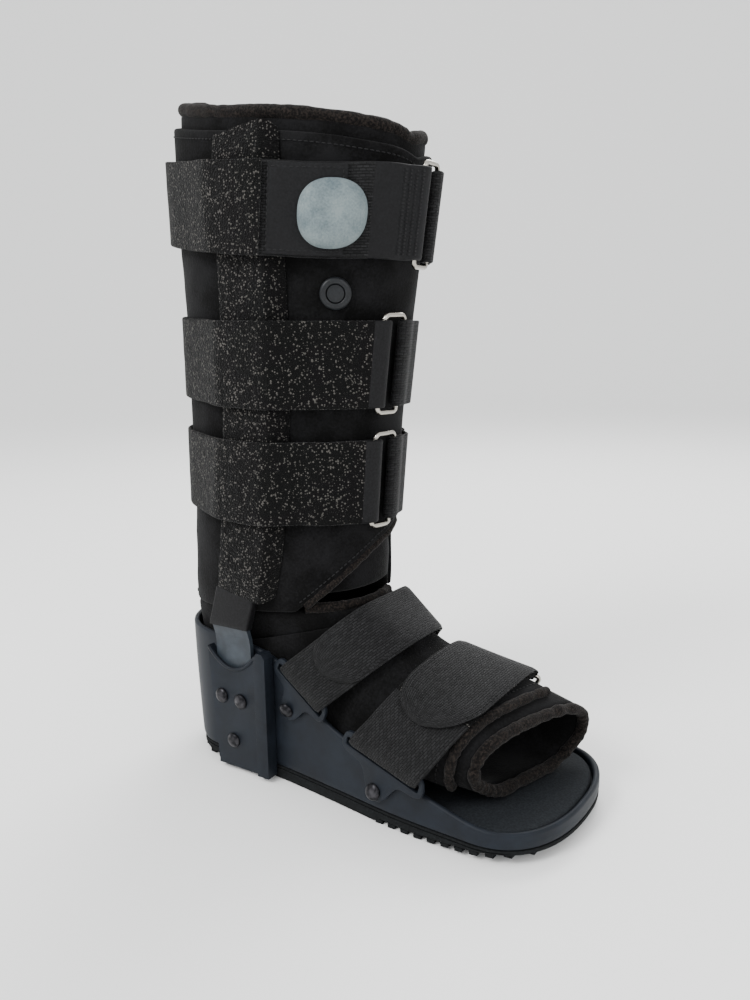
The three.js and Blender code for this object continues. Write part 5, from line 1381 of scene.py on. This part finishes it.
def strip(made_name, name, stations, thick, step=1.8, wave=0.3):
    """A flat strap through stations, each a place for a shift and its share of the width."""
    half = FOOT_STRAPS[name]["width"] / 2
    turn = np.linspace(0, np.pi, 6)[1:-1]
    count = 17
    ends = np.linspace(-1, 1, count)
    rows = []
    for place_at, share in stations:
        shift = ends * half * share
        rows.append(np.concatenate([place_at(shift), shift[:, None]], 1))
    rows = np.array(rows)
    gaps = np.maximum(np.linalg.norm(np.diff(rows[:, :, :2], axis=0), axis=2).mean(1), 0.2)
    at = np.concatenate([[0], np.cumsum(np.sqrt(gaps))])
    fine = np.concatenate([np.linspace(a, b, max(2, int(g // step) + 2))[:-1]
                           for a, b, g in zip(at, at[1:], gaps)] + [[at[-1]]])
    dense = np.empty((len(fine), count, 3))
    for j in range(count):
        for k in range(3):
            slope = np.gradient(rows[:, j, k], at)
            i = np.clip(np.searchsorted(at, fine, side="right") - 1, 0, len(at) - 2)
            h = at[i + 1] - at[i]
            t = (fine - at[i]) / h
            dense[:, j, k] = ((2 * t**3 - 3 * t**2 + 1) * rows[i, j, k] + (t**3 - 2 * t**2 + t) * h * slope[i]
                              + (3 * t**2 - 2 * t**3) * rows[i + 1, j, k] + (t**3 - t**2) * h * slope[i + 1])
    run = np.gradient(dense[:, :, :2], axis=0)
    run /= np.maximum(np.linalg.norm(run, axis=2), 1e-9)[..., None]
    normal = np.stack([-run[..., 1], run[..., 0]], -1)
    r = thick / 2
    rings = []
    for row, n in zip(dense, normal):
        ease = np.clip((1 - np.abs(ends)) * half / r, 0, 1)
        lift = r * np.sqrt(1 - (1 - ease) ** 2)[:, None] * n
        swell = np.abs(wobble(row, 17, wave, 6.0))[:, None] * n * ease[:, None]
        outer = in_frame(name, row[:, :2] + lift + swell, row[:, 2])
        inner = in_frame(name, row[:, :2] - lift, row[:, 2])[::-1][1:-1]
        rings.append(np.concatenate([outer, inner]))
    return loft(made_name, rings, sharp=60), 2 * count - 2, fine, at


for name, strap in FOOT_STRAPS.items():
    whole, half = arch_whole(name), strap["width"] / 2

    def on(along, out, share=1.0, name=name):
        def place_at(shift):
            return on_arch(name, np.full_like(shift, along), np.full_like(shift, out), shift)
        return place_at, share

    post, radius = whole - FOOT_RING_AT - RING_WIDTH / 2, FOOT_RING_OUT - FOOT_SEAT
    bend = [on(post + radius * math.cos(a), FOOT_RING_OUT + radius * math.sin(a))
            for a in np.linspace(-np.pi / 2, np.pi / 2, 9)]
    tab = strap["tab"] * whole
    under = [on(a, FOOT_SEAT) for a in np.linspace(LOOP_FLAT, post - 10, 14)]
    over = [on(a, outside(a)) for a in np.linspace(post - 14, tab + half, 14)]
    ends = [(tab + half * (1 - math.cos(a)), max(0.12, math.sin(a)))
            for a in np.linspace(np.pi / 2 - 0.12, 0.08, 9)]
    tip = [on(a, outside(a), share) for a, share in ends]
    stations = [on(27, FOOT_SEAT), on(17, FOOT_SEAT), *slot_way(name, -1), on(18, FOOT_SEAT + LAYER),
                on(29, FOOT_SEAT + LAYER), *under, *bend, *over, *tip]
    made, size, fine, at = strip(name + "_cloth", name, stations, WEB_THICK)
    sewn_end, bend_at = (int(np.searchsorted(fine, at[k])) for k in (10, 24))
    pile_from = bend_at if name == "strap_4" else sewn_end
    set_faces(made, size, [(0, webbing), (pile_from, loop_pile), (bend_at, webbing)])
    finished(made, loop_pile, "loop_pile", name)
    post = FOOT_RING_AT - RING_WIDTH / 2
    bend = [on(whole - post - radius * math.cos(a), FOOT_RING_OUT + radius * math.sin(a))
            for a in np.linspace(np.pi / 2, -np.pi / 2, 9)]
    stations = [*slot_way(name, 1), on(whole - post + 6, FOOT_RING_OUT + radius * 0.7), *bend,
                on(whole - post + 6, FOOT_SEAT)]
    made = strip(name + "_ring_tape", name, stations, WEB_THICK, wave=0.1)[0]
    finished(made, webbing, "webbing", name + "_ring_loop")
    line = ring_line(half)
    flat = on_arch(name, whole - FOOT_RING_AT + line[:, 0], np.full(len(line), FOOT_RING_OUT), line[:, 1])
    wire = in_frame(name, flat, line[:, 1])
    finished(rod(name + "_wire", wire, RING_WIRE, 12, closed=True), nickel, "steel", name + "_ring")

# %% [markdown]
# ## Pump bulb and release valve
# The bulb is a rubber dome under grey cloth, nearly square in plan with well rounded
# corners, and stuffed looking. It is made of rings that shrink as they rise from the strap.
# The valve below it is a small collar round a domed button, pressed to let the air out.

# %% Pump bulb
z_bulb = LEG_STRAPS["strap_1"][0] - 2
foot_out = 2 * SOFT_GAP + PILE_THICK + GAP
BULB_SHAPE = [(0.84, 0), (0.91, 0.04), (0.94, 0.14), (0.935, 0.26), (0.91, 0.42), (0.87, 0.54),
              (0.81, 0.68), (0.73, 0.79), (0.63, 0.88), (0.51, 0.94), (0.38, 0.975), (0.24, 0.993),
              (0.1, 1)]  # share of the radius, share of the height
c, s = superellipse(np.linspace(0, 360, 73)[:-1], 2.35)
rings = []
for share, rise in BULB_SHAPE:
    du, dv = c * share * BULB_RADIUS, s * share * BULB_RADIUS
    edge = np.abs(wobble(np.stack([du, dv, du * 0], -1), 8, 1.0))
    out = foot_out + BULB_HEIGHT * rise - edge * rise * 0.8
    rings.append(on_leg("strap_1", BULB_AT + du, out, z_bulb + dv))
finished(loft("pump_bulb_cover", rings, sharp=60), bulb_cloth, "bulb_cloth", "pump_bulb", fill=0.9)

# %% Release valve


def turned(name, profile, foot, way, sides=40):
    """A turned piece: the profile's (radius, height) pairs about a way from a foot."""
    way = Vector(way).normalized()
    side = way.cross(Vector((0, 0, 1))).normalized()
    up = way.cross(side)
    rings = []
    for r, h in profile:
        rings.append([Vector(foot) + way * h + (side * math.cos(a) + up * math.sin(a)) * r
                      for a in np.linspace(0, 2 * np.pi, sides + 1)[:-1]])
    return loft(name, [[p[:] for p in ring] for ring in rings], sharp=40)


VALVE_RADIUS, VALVE_HEIGHT, VALVE_ANGLE = 9, 303.15, -44
foot = leg_point(VALVE_ANGLE, VALVE_HEIGHT, -SOFT_GAP)
way = np.cross(leg_point(VALVE_ANGLE, VALVE_HEIGHT + 9) - leg_point(VALVE_ANGLE, VALVE_HEIGHT - 9),
               leg_point(VALVE_ANGLE - 3, VALVE_HEIGHT) - leg_point(VALVE_ANGLE + 3, VALVE_HEIGHT))
inner = VALVE_RADIUS * 0.62
profile = [(inner, -1.5), (VALVE_RADIUS, -1.5), (VALVE_RADIUS, 1.6), (VALVE_RADIUS - 0.3, 2.3),
           (VALVE_RADIUS * 0.85, 2.9), (inner + 0.7, 3.0), (inner, 2.5), (inner, 0.5)]
finished(turned("valve_ring", profile, foot, way), valve_nylon, "valve_plastic", "valve_collar")
profile = [(0.2, -1.2), (inner - GAP, -1.2), (inner - GAP, 1.1), (inner - 0.8, 1.7),
           (inner * 0.5, 1.95), (0.2, 2.0)]
finished(turned("valve_press_button", profile, foot, way), valve_nylon, "valve_plastic", "valve_button")

# %% [markdown]
# ## Sewing
# Rows of lockstitch hold the panel on the top strap, the tabs of the foot straps and the
# edges of the liner. Each row is a line of points with the outward way at each, and Geometry
# Nodes put one stitch on every point. Beside its ring the top strap also has a strip of open
# waffle weave, four cells wide, which is the same tree with a flat cell for its shape.

# %% Stitch rows


def stitch_row(points, ways, pitch=3.3):
    """Spots at an even pitch along a line of points, in the form that repeated() takes."""
    points, ways = np.asarray(points, float), np.asarray(ways, float)
    at = lengths(points)
    even = np.arange(pitch / 2, at[-1], pitch)
    p, w = between(even, at, points), between(even, at, ways)
    return [(q, r, n, (1, 1, 1)) for q, r, n in zip(p, np.gradient(p, axis=0), w)]


def on_strap_row(name, along, out, z):
    along, z = np.broadcast_arrays(np.asarray(along, float), np.asarray(z, float))
    low, high = on_leg(name, along, out, z), on_leg(name, along, out + 1.0, z)
    return stitch_row(low, high - low)


def on_leg_row(angles, z, inset=0.0):
    low, high = leg_point(angles, z, inset), leg_point(angles, z, inset - 1.0)
    return stitch_row(low, high - low)


middle = LEG_STRAPS["strap_1"][0]
panel_out = 2.5 * SOFT_GAP + PILE_THICK + WEB_THICK / 2 - 0.3
spots, panel = [], np.linspace(48.5, BULB_AT + BULB_RADIUS + 15, 30)
for z in (middle - 21.5, middle + 21.5):
    spots += on_strap_row("strap_1", panel, panel_out, z)
for along in (panel[0], panel[-1]):
    spots += on_strap_row("strap_1", along, panel_out, middle + np.linspace(-21.5, 21.5, 30))
angles = np.linspace(LAP_ANGLE - 2, LAP_ANGLE - 350, 240)
spots += on_leg_row(angles, pad_top(angles) - LAYER_STEP - 5)
spots += on_leg_row(angles[120:], pad_bottom(angles[120:]) + 5)
angles = np.linspace(-HOLE_ANGLE + 2, LAP_ANGLE - 2, 80)
spots += on_leg_row(angles, layer_bottom(angles) + 4.5)
angles = np.linspace(FLAP_START + 4, FOOT_LAP - 2, 80)
low, high = foot_point(FLAP_END - 0.3, angles), foot_point(FLAP_END - 0.3, angles, -1.0)
spots += stitch_row(low, high - low)
for name, strap in FOOT_STRAPS.items():
    half = strap["width"] / 2
    turn = np.radians(np.linspace(-90, 90, 40))
    shift = np.concatenate([np.full(12, 2.8 - half), (half - 2.8) * np.sin(turn), np.full(12, half - 2.8)])
    along = strap["tab"] * arch_whole(name) + half - np.concatenate(
        [np.linspace(-26, 0, 12), (half - 2.8) * np.cos(turn), np.linspace(0, -26, 12)])
    out = np.array([outside(a) for a in along]) + WEB_THICK / 2
    low, high = (in_frame(name, on_arch(name, along, out + more, shift), shift) for more in (0, 1))
    spots += stitch_row(low, high - low)


def stitch_shape(shell):
    bmesh.ops.create_uvsphere(shell, u_segments=8, v_segments=6, radius=0.5)


stitch_tree = repeat_tree("Stitches", hidden_shape("stitch", stitch_shape))
STITCH_SIZE = (2.5, 0.75, 0.7)
stitches = repeated("stitches", stitch_tree, spots, STITCH_SIZE, thread)
finished(stitches, thread, "webbing")

# %% Waffle weave


def cell_shape(shell):
    bmesh.ops.create_cube(shell, size=1.0)
    bmesh.ops.bevel(shell, geom=shell.edges[:], offset=0.22, segments=2, affect="EDGES")


fold = round_post(LEG_STRAPS["strap_1"][2] + RING_WIDTH / 2, 1, PILE_THICK, 26)[22:]
spots = []
for along in 7.0 + 3.3 * np.arange(4):
    out = np.interp(along, [a for a, _ in fold], [o for _, o in fold]) + PILE_THICK / 2
    z = middle + np.linspace(-22, 22, 24)
    low, high = on_leg("strap_1", along, out, z), on_leg("strap_1", along, out + 1.0, z)
    spots += [(p, np.cross((0, 0, 1), q - p), q - p, (1, 1, 1)) for p, q in zip(low, high)]
CELL_SIZE = (2.3, 1.15, 0.9)
waffle_tree = repeat_tree("Waffle weave", hidden_shape("cell", cell_shape))
cells = repeated("waffle_weave", waffle_tree, spots, CELL_SIZE, thread)
finished(cells, thread, "webbing")

# %% [markdown]
# ## Lips of the sockets
# The sockets' top edge is a deep curve with a rolled lip, which catches the light.

# %% Socket lips
LIP_BACK, LIP_DIP, LIP_FRONT = np.array([[-95, 82.5], [-75.5, 58.5], [-55.5, 82.5]])
LIP_OUT, LIP_RADIUS = 5.6, 1.3
t = np.linspace(0, 1, 40)[:, None]
curve = (1 - t) ** 2 * LIP_BACK + 2 * t * (1 - t) * LIP_DIP + t**2 * LIP_FRONT
for side, word in ((-1, "near"), (1, "far")):
    line = np.stack([curve[:, 0], np.full(len(t), side * (SOCKET_Y + LIP_OUT)), curve[:, 1]], -1)
    finished(rod(f"socket_lip_{word}", line, LIP_RADIUS, 12), base_plastic, "shell_plastic")

# %% [markdown]
# ## Camera, floor and light
# The photograph was taken from a little above the boot's middle, on its near side and
# towards the toe, with a lens that is moderately wide. The floor is a plain pale sheet
# that sweeps up behind the boot, and three soft lamps stand in for a studio's light boxes.

# %% Camera
AZIMUTH, ELEVATION, ROLL = math.radians(33.71), math.radians(10.64), math.radians(-1.0)
CAMERA_PLACE = Vector((301.5, -449.4, 280.7)) * MM
level = math.cos(ELEVATION)
back = Vector((math.sin(AZIMUTH) * level, -math.cos(AZIMUTH) * level, math.sin(ELEVATION)))
right = Vector((math.cos(AZIMUTH), math.sin(AZIMUTH), 0))
up = back.cross(right)
right, up = (right * math.cos(ROLL) + up * math.sin(ROLL), up * math.cos(ROLL) - right * math.sin(ROLL))
lens = bpy.data.cameras.new("camera")
lens.sensor_width, lens.lens, lens.clip_start, lens.clip_end = 36, 31.83, 0.01, 20
camera = add_object("camera", lens)
camera.matrix_world = Matrix.Translation(CAMERA_PLACE) @ Matrix((right, up, back)).transposed().to_4x4()
bpy.context.scene.camera = camera
print("camera at, mm:", [round(v / MM) for v in camera.location])

# %% Floor
curve = [(2.5 + 2 * math.sin(a), 2 - 2 * math.cos(a)) for a in np.linspace(0.1, 1.57, 16)]
sweep = [(-3, 0), (2.5, 0), *curve, (4.5, 7)]
away = Vector((-back.x, -back.y, 0)).normalized()
sideways = right.xy.to_3d().normalized()
sheet = [away * d + sideways * w + Vector((0, 0, h)) for d, h in sweep for w in (-8, 8)]
floor_mesh = bpy.data.meshes.new("floor")
faces = [(k, k + 1, k + 3, k + 2) for k in range(0, len(sheet) - 2, 2)]
floor_mesh.from_pydata([p[:] for p in sheet], [], faces)
floor_mesh.shade_smooth()
floor = add_object("floor", floor_mesh)
pale, tree, shader = new_material("matt paper, off white", "#f4f4f3", 0.9)
floor_mesh.materials.append(pale)

# %% Lights
world = bpy.data.worlds.new("studio")
world.use_nodes = True
sky = world.node_tree.nodes["Background"]
sky.inputs["Color"].default_value, sky.inputs["Strength"].default_value = linear("#fbfcfd"), 1.5
bpy.context.scene.world = world
for name, spot, size, power in (("key", (-0.5, -1.5, 1.5), 0.8, 34), ("fill", (1.6, -0.7, 0.9), 1.0, 9),
                                ("rim", (-0.3, 1.2, 1.5), 1.0, 24)):
    lamp = bpy.data.lights.new(name, "AREA")
    lamp.shape, lamp.size, lamp.energy = "DISK", size, power
    stand = add_object(name, lamp)
    stand.location = spot
    stand.rotation_euler = (Vector((0, 0, 0.2)) - Vector(spot)).to_track_quat("-Z", "Y").to_euler()
